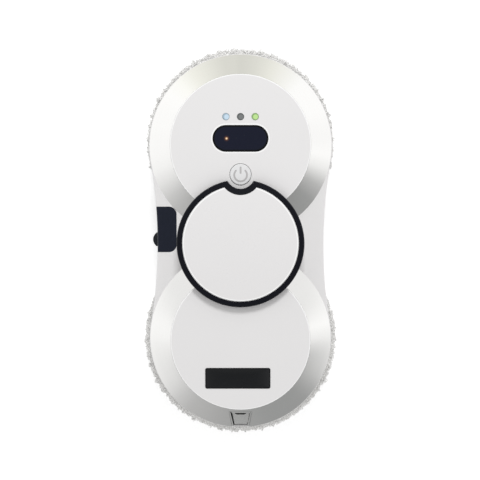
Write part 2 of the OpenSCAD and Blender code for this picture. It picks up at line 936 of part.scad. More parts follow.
module control_board() {
    board_w = board_left + board_right;
    board_l = board_y1 - board_y0;
    mid_x = (board_right - board_left) / 2;
    mid_y = (board_y0 + board_y1) / 2;
    socket_pitch = plug_socket_l + plug_socket_w;
    color(board_green)
        difference() {
            prism(board_z, board_top_z)
                translate([mid_x, mid_y])
                    round_box(board_w, board_l, board_screw_inset);
            at_board_corners()
                pillar(board_screw_r + fit, board_z - cut, board_top_z + cut);
        }
    for (i = [-1:1])
        translate([i * lights_pitch, lights_y, board_top_z])
            linear_extrude(light_chip_h)
                square(light_r, center = true);
    translate([chip_x, button_y, board_top_z])
        linear_extrude(chip_t)
            square(chip_w, center = true);
    for (i = [0:plug_sockets - 1])
        translate([board_left - board_right, mid_y + (i - (plug_sockets - 1) / 2) * socket_pitch,
            board_z - plug_socket_h])
            linear_extrude(plug_socket_h)
                square([plug_socket_w, plug_socket_l], center = true);
}

module infrared_receiver() {
    top_z = ceiling_z - window_flange_w - lamp_gap;
    color(black)
        translate([receiver_x, window_y, 0]) {
            prism(board_top_z, top_z - receiver_dome_r)
                square([receiver_w, receiver_l], center = true);
            intersection() {
                translate([0, 0, top_z - receiver_dome_r])
                    sphere(r = receiver_dome_r);
                pillar(receiver_dome_r, top_z - receiver_dome_r - cut, top_z);
            }
        }
}

module charge_lamp() {
    top_z = ceiling_z - window_flange_w - lamp_gap;
    color(amber)
        translate([lamp_x, window_y, 0]) {
            pillar(lamp_r, board_top_z, top_z - lamp_r);
            translate([0, 0, top_z - lamp_r])
                sphere(r = lamp_r);
        }
}

module buzzer() {
    color(black)
        translate([buzzer_x, window_y, 0])
            difference() {
                pillar(buzzer_r, board_top_z, board_top_z + buzzer_h);
                pillar(buzzer_hole_r, board_top_z + buzzer_h / 2, board_top_z + buzzer_h + cut);
            }
}

module power_switch() {
    switch_top = board_top_z + switch_h;
    hole_z = switch_top - plunger_depth - button_travel - fit;
    color(pale_grey)
        translate([0, button_y, 0])
            difference() {
                prism(board_top_z, switch_top)
                    square(switch_w, center = true);
                pillar(plunger_r + running, hole_z, switch_top + cut);
            }
}

module switch_plunger() {
    switch_top = board_top_z + switch_h;
    color(black)
        translate([0, button_y, 0])
            pillar(plunger_r, switch_top - plunger_depth, switch_top + plunger_h);
}

module power_button() {
    flange_top = ceiling_z - button_play;
    flange_low = flange_top - button_flange_t;
    flange_r = button_r + button_flange_w;
    color(white_shell)
        translate([0, button_y, 0]) {
            rotate_extrude()
                polygon([
                    [0, flange_low], [flange_r, flange_low], [flange_r, flange_top], [button_r, flange_top],
                    [button_r, plateau_z + button_proud - button_edge],
                    [button_r - button_edge, plateau_z + button_proud], [0, plateau_z + button_proud]
                ]);
            pillar(button_stem_r, board_top_z + switch_h + plunger_h, flange_low + button_flange_t / 2);
        }
}

// Water
module water_tank() {
    roof_z = rim_z - shell_t - tank_roof_gap;
    top_z = rim_z + tank_top_proud;
    out = waist_w;
    color(dark_blue)
        difference() {
            union() {
                intersection() {
                    shell_form(floor_z, roof_z, 0, 0, tank_inset);
                    translate([-out, tank_y - tank_hidden_l / 2, floor_z])
                        cube([tank_inner_x + out, tank_hidden_l, roof_z - floor_z]);
                }
                intersection() {
                    shell_form(window_foot_z, top_z, 0, rim_round);
                    prism(window_foot_z, top_z)
                        tank_plan(0);
                }
            }
            intersection() {
                shell_form(floor_z + tank_wall, roof_z - tank_wall, 0, 0, tank_inset + tank_wall);
                translate([-out, tank_y - tank_hidden_l / 2 + tank_wall, floor_z + tank_wall])
                    cube([tank_inner_x - tank_wall + out, tank_hidden_l - 2 * tank_wall,
                        roof_z - floor_z - 2 * tank_wall]);
            }
            translate([plug_seat_x - 2 * plug_flange_t, plug_y, plug_z])
                rotate([0, 90, 0])
                    cylinder(r = plug_flange_r + soft_gap, h = 2 * plug_flange_t);
            translate([plug_seat_x - cut, plug_y, plug_z])
                rotate([0, 90, 0])
                    cylinder(r = filler_r, h = tank_inset + tank_wall + 2 * cut);
            translate([pump_x, tank_y - tank_hidden_l / 2 - cut, pump_inlet_z])
                rotate([-90, 0, 0])
                    cylinder(r = pump_port_r + fit, h = tank_wall + 2 * cut);
        }
}

module tank_plug() {
    face_x = plug_seat_x - plug_seat_gap;
    tip_x = -(waist_w / 2 + lean(plug_z) + tab_reach);
    color(black) {
        translate([face_x - plug_flange_t, plug_y, plug_z])
            rotate([0, 90, 0]) {
                cylinder(r = plug_flange_r, h = plug_flange_t);
                cylinder(r = filler_r - soft_gap, h = plug_flange_t + plug_l);
            }
        intersection() {
            translate([tip_x + tab_r, plug_y, 0])
                pillar(tab_r, plug_z - tab_t / 2, plug_z + tab_t / 2);
            union() {
                translate([tip_x - cut, plug_y - tab_r, plug_z - tab_t])
                    cube([face_x - plug_flange_t - tip_x + cut, 2 * tab_r, 2 * tab_t]);
                translate([tip_x, plug_y, plug_z])
                    rotate([0, 90, 0])
                        cylinder(r = plug_flange_r, h = face_x - plug_flange_t / 2 - tip_x);
            }
        }
    }
}

module spray_pump() {
    color(pale_grey)
        translate([pump_x, pump_y, 0]) {
            pillar(pump_r, floor_z, floor_z + pump_h - pump_cap_h);
            pillar(pump_cap_r, floor_z, floor_z + pump_h);
            translate([0, 0, pump_port_z])
                rotate([0, 90, pump_turn])
                    cylinder(r = pump_port_r, h = pump_r + pump_port_l);
            translate([0, 0, pump_inlet_z])
                rotate([-90, 0, 0])
                    cylinder(r = pump_port_r, h = tank_y - tank_hidden_l / 2 - pump_y + tank_wall);
        }
}

// A smooth curve through the route's points, hose_steps to a span
function route_point(p, i, t) =
    let (a = p[max(0, i - 1)], b = p[i], c = p[i + 1], d = p[min(len(p) - 1, i + 2)])
    (2 * b + (c - a) * t + (2 * a - 5 * b + 4 * c - d) * t * t + (3 * b - a - 3 * c + d) * t * t * t) / 2;
function smooth_route(p) = concat(
    [for (i = [0:len(p) - 2], k = [0:hose_steps - 1]) route_point(p, i, k / hose_steps)],
    [p[len(p) - 1]]);
function along(p, i) = let (d = p[min(len(p) - 1, i + 1)] - p[max(0, i - 1)]) d / norm(d);

module tube(route, r, sides) {
    path = smooth_route(route);
    n = len(path);
    rings = [for (i = [0:n - 1]) let (
        t = along(path, i),
        u = cross(t, [0, 0, 1]) / norm(cross(t, [0, 0, 1])),
        v = cross(u, t))
        each [for (k = [0:sides - 1]) path[i] + r * (u * cos(360 * k / sides) + v * sin(360 * k / sides))]];
    walls = [for (i = [0:n - 2], k = [0:sides - 1]) let (
        a = i * sides + k,
        b = i * sides + (k + 1) % sides)
        each [[a, b, b + sides], [a, b + sides, a + sides]]];
    start = [for (k = [1:sides - 2]) [0, k + 1, k]];
    finish = [for (k = [1:sides - 2]) [(n - 1) * sides, (n - 1) * sides + k, (n - 1) * sides + k + 1]];
    polyhedron(points = rings, faces = concat(walls, start, finish));
}

module water_hose() {
    color(pale_blue)
        tube(hose_route, hose_r, hose_sides);
}

// A band parallel to the dome's slope, between two depths below the trim ring's face
module slope_band(top_drop, bottom_drop) {
    r0 = plateau_r + nozzle_gap - nozzle_wall - cut;
    r1 = lobe_r + cut;
    translate([0, -lobe_y, 0])
        rotate_extrude($fn = 180)
            polygon([
                [r0, dome_z(r0) - bottom_drop], [r1, dome_z(r1) - bottom_drop],
                [r1, dome_z(r1) - top_drop], [r0, dome_z(r0) - top_drop]
            ]);
}

module jet_plan(grow) {
    back_half = jet_w / 2 + grow;
    front_half = jet_front_w / 2 + grow;
    front_y = nozzle_in_y - jet_t - grow;
    polygon([
        [-back_half, nozzle_in_y], [back_half, nozzle_in_y], [front_half, front_y], [-front_half, front_y]
    ]);
}

module nozzle_housing() {
    color(silver)
        difference() {
            intersection() {
                slope_band(0, nozzle_depth + nozzle_wall);
                prism(base_z, plateau_z)
                    nozzle_plan(nozzle_wall, nozzle_end_y);
            }
            intersection() {
                slope_band(-plateau_step, nozzle_depth);
                prism(base_z, plateau_z)
                    nozzle_plan(0, nozzle_end_y - cut);
            }
            prism(base_z, plateau_z)
                jet_plan(jet_gap);
        }
}

module spray_jet() {
    inner_r = plateau_r + nozzle_gap;
    floor_top = dome_z(inner_r) - nozzle_depth;
    body_r = inner_r + jet_body_front;
    body_top = dome_z(body_r) - nozzle_depth - nozzle_wall - jet_gap;
    color(black)
        difference() {
            union() {
                prism(body_top - jet_body_h / 2, floor_top + jet_h)
                    jet_plan(0);
                translate([-jet_body_w / 2, nozzle_in_y - jet_body_front, body_top - jet_body_h])
                    cube([jet_body_w, jet_body_l, jet_body_h]);
                translate([0, nozzle_in_y - jet_body_front + jet_body_l - barb_r, body_top - jet_body_h / 2])
                    rotate([0, -90, 0])
                        cylinder(r = barb_r, h = jet_body_w / 2 + barb_l);
            }
            translate([0, nozzle_in_y - jet_t / 2, floor_top + jet_h / 2])
                rotate([90, 0, 0])
                    cylinder(r = jet_hole_r, h = jet_t);
        }
}

// Electrics
module dc_jack() {
    color(black)
        translate([0, jack_y, jack_z])
            difference() {
                union() {
                    translate([jack_shoulder_x - jack_depth, -jack_half, -jack_half])
                        cube([jack_depth, 2 * jack_half, 2 * jack_half]);
                    translate([jack_shoulder_x - cut, 0, 0])
                        rotate([0, 90, 0])
                            cylinder(r = jack_r, h = jack_x - jack_shoulder_x + cut);
                }
                translate([jack_x - jack_depth, 0, 0])
                    rotate([0, 90, 0])
                        difference() {
                            cylinder(r = jack_bore_r, h = jack_depth + cut);
                            translate([0, 0, -cut])
                                cylinder(r = jack_pin_r, h = jack_pin_l + cut);
                        }
            }
}

module battery_tray() {
    color(pale_grey)
        difference() {
            union() {
                prism(tray_z, tray_z + tray_h)
                    translate([tray_x, tray_y])
                        square([tray_w, tray_l], center = true);
                at_tray_lugs()
                    pillar(tray_lug_r, tray_lug_z, tray_lug_z + tray_lug_t);
            }
            prism(tray_z + tray_wall, tray_z + tray_h + cut)
                translate([tray_x, tray_y])
                    square([tray_w - 2 * tray_wall, tray_l - 2 * tray_wall], center = true);
            at_tray_lugs()
                pillar(board_screw_r + fit, tray_z, tray_z + tray_h + cut);
        }
}

module battery_cells() {
    pitch = 2 * cell_r + cell_gap;
    color(cell_blue)
        for (i = [0:cell_count - 1])
            translate([
                tray_x + (i - (cell_count - 1) / 2) * pitch,
                tray_y + (cell_l + cell_cap_h) / 2,
                tray_z + tray_wall + cell_gap + cell_r])
                rotate([90, 0, 0]) {
                    cylinder(r = cell_r, h = cell_l);
                    cylinder(r = cell_cap_r, h = cell_l + cell_cap_h);
                }
}

// Suction fan
module fan_housing() {
    color(pale_grey)
        difference() {
            union() {
                pillar(fan_r, fan_z, fan_top_z);
                at_fan_lugs()
                    pillar(fan_lug_r, fan_z, fan_z + fan_lug_t);
            }
            pillar(inlet_r, fan_z - cut, fan_z + fan_wall + cut);
            pillar(fan_r - fan_wall - fan_step, fan_z + fan_wall, diffuser_z + cut);
            pillar(fan_r - fan_wall, diffuser_z, fan_top_z + cut);
            at_fan_lugs()
                pillar(fan_screw_r + fit, fan_z - cut, fan_z + fan_lug_t + cut);
        }
}

module fan_diffuser() {
    ring_r = fan_r - fan_wall - fit;
    top_z = diffuser_z + diffuser_t;
    vane_l = ring_r - diffuser_ring_w - diffuser_hub_r + 2 * diffuser_vane_t;
    color(pale_grey)
        difference() {
            union() {
                pillar(diffuser_hub_r, diffuser_z, top_z);
                difference() {
                    pillar(ring_r, diffuser_z, top_z + diffuser_vane_h);
                    pillar(ring_r - diffuser_ring_w, diffuser_z - cut, top_z + diffuser_vane_h + cut);
                }
                for (i = [0:diffuser_vanes - 1])
                    rotate([0, 0, 360 * i / diffuser_vanes])
                        translate([diffuser_hub_r - diffuser_vane_t, -diffuser_vane_t / 2, diffuser_z])
                            cube([vane_l, diffuser_vane_t, diffuser_t + diffuser_vane_h]);
            }
            pillar(fan_motor_r + fit, top_z - diffuser_pocket, top_z + cut);
            pillar(fan_shaft_r + running + fit, diffuser_z - cut, top_z);
        }
}

module fan_motor() {
    motor_foot_z = diffuser_z + diffuser_t - diffuser_pocket;
    color(steel)
        difference() {
            union() {
                pillar(fan_motor_r, motor_foot_z, motor_foot_z + fan_motor_h);
                pillar(motor_cap_r, motor_foot_z, motor_foot_z + fan_motor_h + motor_cap_h);
            }
            pillar(fan_shaft_r + running, motor_foot_z - cut, motor_foot_z + fan_shaft_depth + fit);
        }
}

module fan_shaft() {
    color(steel)
        pillar(fan_shaft_r, impeller_z, diffuser_z + diffuser_t - diffuser_pocket + fan_shaft_depth);
}

// One impeller blade: it leans back evenly from its root to its tip, and has an even thickness
function blade_edge(side) = [for (i = [0:blade_steps]) let (
    share = i / blade_steps,
    r = blade_r0 + (impeller_r - blade_r0) * share,
    angle = -blade_sweep * share,
    lean_back = atan(r * blade_sweep * PI / 180 / (impeller_r - blade_r0)),
    half = side * blade_t / 2)
    [r * cos(angle) + half * sin(lean_back - angle), r * sin(angle) + half * cos(lean_back - angle)]];

function reversed(list) = [for (i = [len(list) - 1:-1:0]) list[i]];

module fan_impeller() {
    plate_z = impeller_z + blade_h;
    color(black)
        difference() {
            union() {
                intersection() {
                    prism(impeller_z, plate_z + impeller_plate_t / 2)
                        for (i = [0:blades - 1])
                            rotate(360 * i / blades)
                                polygon(concat(blade_edge(1), reversed(blade_edge(-1))));
                    pillar(impeller_r, impeller_z, plate_z + impeller_plate_t);
                }
                pillar(impeller_r, plate_z, plate_z + impeller_plate_t);
                pillar(impeller_hub_r, impeller_z, plate_z + impeller_plate_t);
            }
            pillar(fan_shaft_r + slip, impeller_z - cut, plate_z + impeller_plate_t + cut);
        }
}

// Mop drive
// Polar angle that an involute of the given base radius has turned through at radius r
function involute(base, r) = let (a = acos(min(1, base / r))) tan(a) * 180 / PI - a;

// Outline of a spur gear with a tooth centred on +X
function gear_outline(teeth) = let (
    pitch = gear_module * teeth / 2,
    base = pitch * cos(pressure_angle),
    tip = pitch + addendum_share * gear_module,
    root = pitch - dedendum_share * gear_module,
    start = max(base, root),
    half = 90 / teeth - backlash / 4 / pitch * 180 / PI + involute(base, pitch),
    flank = [for (k = [0:flank_steps]) let (r = start + (tip - start) * k / flank_steps)
        [r, half - involute(base, r)]],
    low = start > root ? [[root, half]] : [])
    [for (i = [0:teeth - 1]) let (mid = 360 * i / teeth) each concat(
        [for (p = concat(low, flank)) p[0] * [cos(mid - p[1]), sin(mid - p[1])]],
        [for (p = reversed(concat(low, flank))) p[0] * [cos(mid + p[1]), sin(mid + p[1])]])];

module drive_motor_form() {
    at_motor() {
        pillar(motor_pilot_r, bracket_z, motor_z + cut);
        difference() {
            union() {
                pillar(motor_r, motor_z, motor_z + gearbox_h);
                pillar(motor_r - gearbox_step, motor_z, motor_z + motor_l);
                pillar(motor_cap_r, motor_z, motor_z + motor_l + motor_cap_h);
            }
            pillar(motor_pilot_r - cut, motor_z - cut, motor_z);
        }
    }
}

module motor_with_bore() {
    difference() {
        drive_motor_form();
        at_motor()
            pillar(motor_shaft_r + running, bracket_z - cut, motor_z + gearbox_h + fit);
    }
}

module motor_shaft_form() {
    at_motor()
        pillar(motor_shaft_r, gear_z - pinion_over, motor_z + gearbox_h);
}

module pinion_form() {
    at_motor()
        prism(gear_z - pinion_over, gear_z + gear_t + pinion_over)
            difference() {
                polygon(gear_outline(pinion_teeth));
                circle(r = motor_shaft_r + slip);
            }
}

module bracket_form() {
    difference() {
        prism(bracket_z, bracket_z + bracket_t)
            translate([-drive_distance, 0]) {
                circle(r = motor_r);
                square([bracket_w, 2 * bracket_arm], center = true);
                for (side = [-1, 1])
                    translate([0, side * bracket_arm])
                        circle(r = bracket_w / 2);
            }
        at_motor()
            pillar(motor_pilot_r + motor_pilot_gap, bracket_z - cut, motor_z + cut);
        at_bracket_posts()
            pillar(bracket_screw_r + fit, bracket_z - cut, motor_z + cut);
    }
}

// D-shaped section of an axle, or of the hole that it goes into
module axle_section(grow) {
    difference() {
        circle(r = axle_r + grow);
        translate([axle_r - axle_flat + grow, -axle_r - cut])
            square([axle_r, 2 * (axle_r + cut)]);
    }
}

module drive_gear_form() {
    difference() {
        union() {
            prism(gear_z, gear_z + gear_t)
                rotate(gear_turn)
                    polygon(gear_outline(gear_teeth));
            pillar(gear_hub_r, gear_z, gear_z + gear_t + gear_hub_h);
        }
        prism(gear_z - cut, axle_top_z + cut)
            axle_section(axle_flat_gap);
        for (i = [0:lightening_holes - 1])
            rotate([0, 0, 360 * i / lightening_holes])
                translate([lightening_ring_r, 0, 0])
                    pillar(lightening_r, gear_z - cut, gear_z + gear_t + cut);
    }
}

module axle_form() {
    hub_floor_z = pad_t + hub_floor_t;
    difference() {
        union() {
            pillar(axle_r, hub_floor_z, gear_z);
            prism(gear_z - gear_gap / 2, axle_top_z)
                axle_section(0);
        }
        pillar(hub_screw_r + slip, hub_floor_z - cut, pad_t + hub_screw_l + fit);
    }
}

module bush_form() {
    difference() {
        union() {
            pillar(bush_r, base_z, bearing_top_z);
            pillar(bush_r + bush_flange_w, bearing_top_z, bearing_top_z + bush_flange_t);
        }
        pillar(axle_r + running, base_z - cut, bearing_top_z + bush_flange_t + cut);
    }
}

module disc_seal_form() {
    rotate_extrude()
        translate([seal_r, disc_top_z + soft_gap])
            square([seal_w, base_z - disc_top_z - soft_gap]);
}

module mop_disc_form() {
    difference() {
        union() {
            pillar(disc_r, pad_t, disc_top_z);
            pillar(hub_r, pad_t, hub_top_z);
            rotate_extrude($fn = 180)
                translate([rib_r, pad_t + disc_t / 2])
                    square([rib_w, disc_t / 2 + rib_h]);
        }
        air_slots(disc_vents, pad_t - cut, disc_top_z + cut);
        pillar(axle_r + slip, pad_t + hub_floor_t, hub_top_z + cut);
        pillar(hub_screw_r + fit, pad_t - cut, hub_top_z);
    }
}

// Ring under the disc that centres the pad
module pad_ring_form() {
    rotate_extrude($fn = 180)
        translate([pad_hole_r - fit - locating_w, pad_t - locating_h])
            square([locating_w, locating_h]);
}

module hub_screw_form() {
    screw(hub_screw_r, hub_screw_head_r, hub_screw_head_t, hub_screw_l, pad_t);
}

// Ring of pile under the disc, turned up round its edge and held by an elastic lip on top
module mop_pad_form() {
    top_z = disc_top_z + pad_lip_t;
    turns = [for (i = [0:pad_steps]) 90 * i / pad_steps];
    rotate_extrude($fn = 180)
        polygon(concat(
            [[pad_hole_r, pad_t], [pad_hole_r, pad_edge], [pad_hole_r + pad_edge, 0]],
            [for (a = turns) [pad_r - pad_round * (1 - sin(a)), pad_round * (1 - cos(a))]],
            [for (a = turns) [pad_r - pad_shoulder * (1 - cos(a)), top_z - pad_shoulder * (1 - sin(a))]],
            [[disc_r - pad_lip_w, top_z], [disc_r - pad_lip_w, disc_top_z], [disc_r + fit, disc_top_z],
                [disc_r + fit, pad_t]]));
}

module front_drive_motor() {
    color(steel)
        at_front()
            motor_with_bore();
}

module rear_drive_motor() {
    color(steel)
        at_rear()
            motor_with_bore();
}

module front_motor_bracket() {
    color(steel)
        at_front()
            bracket_form();
}

module rear_motor_bracket() {
    color(steel)
        at_rear()
            bracket_form();
}

module front_motor_shaft() {
    color(steel)
        at_front()
            motor_shaft_form();
}

module rear_motor_shaft() {
    color(steel)
        at_rear()
            motor_shaft_form();
}

module front_pinion() {
    color(brass)
        at_front()
            pinion_form();
}

module rear_pinion() {
    color(brass)
        at_rear()
            pinion_form();
}

module front_drive_gear() {
    color(wool)
        at_front()
            drive_gear_form();
}

module rear_drive_gear() {
    color(wool)
        at_rear()
            drive_gear_form();
}

module front_axle() {
    color(steel)
        at_front()
            axle_form();
}

module rear_axle() {
    color(steel)
        at_rear()
            axle_form();
}

module front_bush() {
    color(brass)
        at_front()
            bush_form();
}

module rear_bush() {
    color(brass)
        at_rear()
            bush_form();
}

module front_disc_seal() {
    color(black)
        at_front()
            disc_seal_form();
}

module rear_disc_seal() {
    color(black)
        at_rear()
            disc_seal_form();
}

module front_mop_disc() {
    color(pale_grey)
        at_front()
            mop_disc_form();
}

module rear_mop_disc() {
    color(pale_grey)
        at_rear()
            mop_disc_form();
}

module front_pad_ring() {
    color(pale_grey)
        at_front()
            pad_ring_form();
}

module rear_pad_ring() {
    color(pale_grey)
        at_rear()
            pad_ring_form();
}

module front_mop_pad() {
    color(wool)
        at_front()
            mop_pad_form();
}

module rear_mop_pad() {
    color(wool)
        at_rear()
            mop_pad_form();
}

module front_hub_screw() {
    color(steel)
        at_front()
            hub_screw_form();
}

module rear_hub_screw() {
    color(steel)
        at_rear()
            hub_screw_form();
}

// Fasteners
module housing_screws() {
    color(steel)
        at_screws()
            screw(screw_r, screw_head_r, screw_head_t, screw_seat_t + screw_bite, screw_seat_z);
}

module bracket_screws() {
    color(steel)
        for (side = [0, 180])
            rotate([0, 0, side])
                at_front()
                    at_bracket_posts() {
                        pillar(small_head_r, motor_z, motor_z + small_head_t);
                        pillar(bracket_screw_r, bracket_z - bracket_screw_bite, motor_z + small_head_t / 2);
                    }
}

module board_screws() {
    color(steel) {
        at_board_corners()
            screw(board_screw_r, small_head_r, small_head_t, board_t + board_screw_bite, board_z);
        at_tray_lugs()
            screw(board_screw_r, small_head_r, small_head_t, tray_lug_t + board_screw_bite, tray_lug_z);
    }
}

module fan_screws() {
    color(steel)
        at_fan_lugs() {
            pillar(small_head_r, fan_z + fan_lug_t, fan_z + fan_lug_t + small_head_t);
            pillar(fan_screw_r, fan_z - fan_screw_bite, fan_z + fan_lug_t + small_head_t / 2);
        }
}

base_housing();
top_cover();
front_trim_ring();
rear_trim_ring();
exhaust_ring();
fan_cover();
sensor_window();
left_status_light();
middle_status_light();
right_status_light();
control_board();
infrared_receiver();
charge_lamp();
buzzer();
power_switch();
switch_plunger();
power_button();
water_tank();
tank_plug();
spray_pump();
water_hose();
nozzle_housing();
spray_jet();
dc_jack();
battery_tray();
battery_cells();
fan_housing();
fan_diffuser();
fan_motor();
fan_shaft();
fan_impeller();
front_drive_motor();
rear_drive_motor();
front_motor_bracket();
rear_motor_bracket();
front_motor_shaft();
rear_motor_shaft();
front_pinion();
rear_pinion();
front_drive_gear();
rear_drive_gear();
front_axle();
rear_axle();
front_bush();
rear_bush();
front_disc_seal();
rear_disc_seal();
front_mop_disc();
rear_mop_disc();
front_pad_ring();
rear_pad_ring();
front_mop_pad();
rear_mop_pad();
front_hub_screw();
rear_hub_screw();
housing_screws();
bracket_screws();
board_screws();
fan_screws();
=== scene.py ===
import bpy
import numpy as np
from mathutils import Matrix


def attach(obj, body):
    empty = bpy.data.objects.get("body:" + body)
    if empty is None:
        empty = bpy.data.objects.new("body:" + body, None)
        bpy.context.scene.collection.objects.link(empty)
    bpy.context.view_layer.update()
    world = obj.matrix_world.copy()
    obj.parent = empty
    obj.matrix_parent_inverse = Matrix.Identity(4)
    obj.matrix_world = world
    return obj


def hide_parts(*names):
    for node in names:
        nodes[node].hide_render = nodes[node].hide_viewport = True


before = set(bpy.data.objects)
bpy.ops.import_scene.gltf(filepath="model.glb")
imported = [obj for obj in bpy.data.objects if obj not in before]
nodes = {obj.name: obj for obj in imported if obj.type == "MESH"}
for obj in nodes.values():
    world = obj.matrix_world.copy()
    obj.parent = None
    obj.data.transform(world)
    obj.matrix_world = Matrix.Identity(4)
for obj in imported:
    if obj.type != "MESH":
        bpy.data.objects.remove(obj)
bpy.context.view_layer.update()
mm = 0.001  # new pieces are worked out in millimetres
print("frame loaded,", len(nodes), "nodes")

# Camera: almost straight down on the robot, tipped a little towards the nozzle end
cameraSettings = {
    "place": (-0.00036, 0.030, 0.69209), "tilt": -2.5, "lens": 65.95, "sensor": 36.0, "clip": (0.01, 20)}


def placeCamera(settings):
    data = bpy.data.cameras.new("overheadCamera")
    data.lens, data.sensor_width = settings["lens"], settings["sensor"]
    data.clip_start, data.clip_end = settings["clip"]
    camera = bpy.data.objects.new("overheadCamera", data)
    camera.location = settings["place"]
    camera.rotation_euler = (np.radians(settings["tilt"]), 0, 0)
    bpy.context.scene.collection.objects.link(camera)
    bpy.context.scene.camera = camera


placeCamera(cameraSettings)
bpy.context.scene.view_settings.view_transform = "Standard"


# Meshes from whole arrays: points (n, 3) in millimetres, quads (m, 4), triangles (k, 3)
def putMesh(name, points, quads, triangles=np.zeros((0, 3), int)):
    mesh = bpy.data.meshes.new(name)
    corners = np.concatenate([quads.ravel(), triangles.ravel()]).astype(np.int32)
    starts = np.concatenate([4 * np.arange(len(quads)), 4 * len(quads) + 3 * np.arange(len(triangles))])
    mesh.vertices.add(len(points))
    mesh.vertices.foreach_set("co", (points * mm).astype(np.float32).ravel())
    mesh.loops.add(len(corners))
    mesh.loops.foreach_set("vertex_index", corners)
    mesh.polygons.add(len(starts))
    mesh.polygons.foreach_set("loop_start", starts.astype(np.int32))
    mesh.polygons.foreach_set("use_smooth", np.ones(len(starts), bool))
    mesh.update(calc_edges=True)
    mesh.validate()
    piece = bpy.data.objects.new(name, mesh)
    bpy.context.scene.collection.objects.link(piece)
    return piece


# Quads of a grid of rows by columns: each row is closed into a ring, and the rows too where rowsClosed says so
def gridQuads(rows, columns, rowsClosed=False):
    i = np.arange(rows if rowsClosed else rows - 1)[:, None]
    j = np.arange(columns)[None, :]
    nextI, nextJ = (i + 1) % rows, (j + 1) % columns
    quads = [i * columns + j, i * columns + nextJ, nextI * columns + nextJ, nextI * columns + j]
    return np.stack(quads, -1).reshape(-1, 4)


# A profile in (radius, height) turned about the upright axis, as rows of points all the way round
def turned(profile, around):
    angle = np.linspace(0, 2 * np.pi, around, endpoint=False)
    radius, height = profile[:, :1], profile[:, 1:]
    return np.stack([radius * np.cos(angle), radius * np.sin(angle), height + 0 * angle], -1).reshape(-1, 3)


def unit(vectors):
    return vectors / np.maximum(np.linalg.norm(vectors, axis=-1, keepdims=True), 1e-9)


# Node tools: a value goes to a socket as a link if it is a socket, and as its setting if it isn't
def feed(tree, socket, value):
    if isinstance(value, bpy.types.NodeSocket):
        tree.links.new(value, socket)
    else:
        socket.default_value = value


def mathNode(tree, operation, *values):
    node = tree.nodes.new("ShaderNodeMath")
    node.operation = operation
    for socket, value in zip(node.inputs, values):
        feed(tree, socket, value)
    return node.outputs[0]


def vectorNode(tree, operation, *values):
    node = tree.nodes.new("ShaderNodeVectorMath")
    node.operation = operation
    for socket, value in zip(node.inputs, values):
        feed(tree, socket, value)
    return node.outputs["Value" if operation in ("LENGTH", "DOT_PRODUCT") else "Vector"]


def scaled(tree, vector, amount):
    node = tree.nodes.new("ShaderNodeVectorMath")
    node.operation = "SCALE"
    feed(tree, node.inputs[0], vector)
    feed(tree, node.inputs["Scale"], amount)
    return node.outputs["Vector"]


def axesOf(tree, place):
    node = tree.nodes.new("ShaderNodeSeparateXYZ")
    tree.links.new(place, node.inputs["Vector"])
    return node.outputs


def mapped(tree, place, scale=(1, 1, 1), rotation=(0, 0, 0)):
    node = tree.nodes.new("ShaderNodeMapping")
    node.inputs["Scale"].default_value = scale
    node.inputs["Rotation"].default_value = rotation
    tree.links.new(place, node.inputs["Vector"])
    return node.outputs["Vector"]


def noiseNode(tree, place, scale, detail=2.0, roughness=0.5):
    node = tree.nodes.new("ShaderNodeTexNoise")
    feed(tree, node.inputs["Vector"], place)
    feed(tree, node.inputs["Scale"], scale)
    node.inputs["Detail"].default_value = detail
    node.inputs["Roughness"].default_value = roughness
    return node.outputs["Fac"]


def rangeNode(tree, value, low, high, toLow=0.0, toHigh=1.0):
    node = tree.nodes.new("ShaderNodeMapRange")
    node.interpolation_type = "SMOOTHSTEP"
    given = {"Value": value, "From Min": low, "From Max": high, "To Min": toLow, "To Max": toHigh}
    for label, item in given.items():
        feed(tree, node.inputs[label], item)
    return node.outputs["Result"]


def mixColour(tree, share, first, second):
    node = tree.nodes.new("ShaderNodeMix")
    node.data_type = "RGBA"
    feed(tree, node.inputs["Factor"], share)
    for socket, value in ((node.inputs[6], first), (node.inputs[7], second)):  # A and B of the colour mode
        feed(tree, socket, value if isinstance(value, bpy.types.NodeSocket) else (*value, 1.0))
    return node.outputs[2]


def newGroup(name, inputs, outputs):
    group = bpy.data.node_groups.new(name, "ShaderNodeTree")
    for direction, sockets in (("INPUT", inputs), ("OUTPUT", outputs)):
        for label, kind in sockets:
            group.interface.new_socket(name=label, in_out=direction, socket_type="NodeSocket" + kind)
    return group, group.nodes.new("NodeGroupInput").outputs, group.nodes.new("NodeGroupOutput").inputs


def useGroup(tree, group, **values):
    node = tree.nodes.new("ShaderNodeGroup")
    node.node_tree = group
    for label, value in values.items():
        feed(tree, node.inputs[label], value)
    return node.outputs


# Moulded skin: a slow drift of tone over centimetres, a smear of gloss and a fine even grain
skinScales = {"cloud": 22.0, "smear": 60.0}


def makeMouldedSkin(scales):
    group, given, made = newGroup("mouldedSkin", [
        ("place", "Vector"), ("colour", "Color"), ("drift", "Float"), ("grainSize", "Float"),
        ("roughness", "Float"), ("roughDrift", "Float")],
        [("colour", "Color"), ("roughness", "Float"), ("height", "Float")])

    def drifting(noise, amount, middle):
        centred = mathNode(group, "SUBTRACT", mathNode(group, "MULTIPLY", noise, 2.0), 1.0)
        return mathNode(group, "MULTIPLY_ADD", centred, amount, middle)

    cloud = noiseNode(group, given["place"], scales["cloud"], 3.0)
    smear = noiseNode(group, given["place"], scales["smear"], 4.0, 0.65)
    grain = noiseNode(group, given["place"], given["grainSize"], 3.0, 0.6)
    group.links.new(scaled(group, given["colour"], drifting(cloud, given["drift"], 1.0)), made["colour"])
    group.links.new(drifting(smear, given["roughDrift"], given["roughness"]), made["roughness"])
    group.links.new(grain, made["height"])
    return group


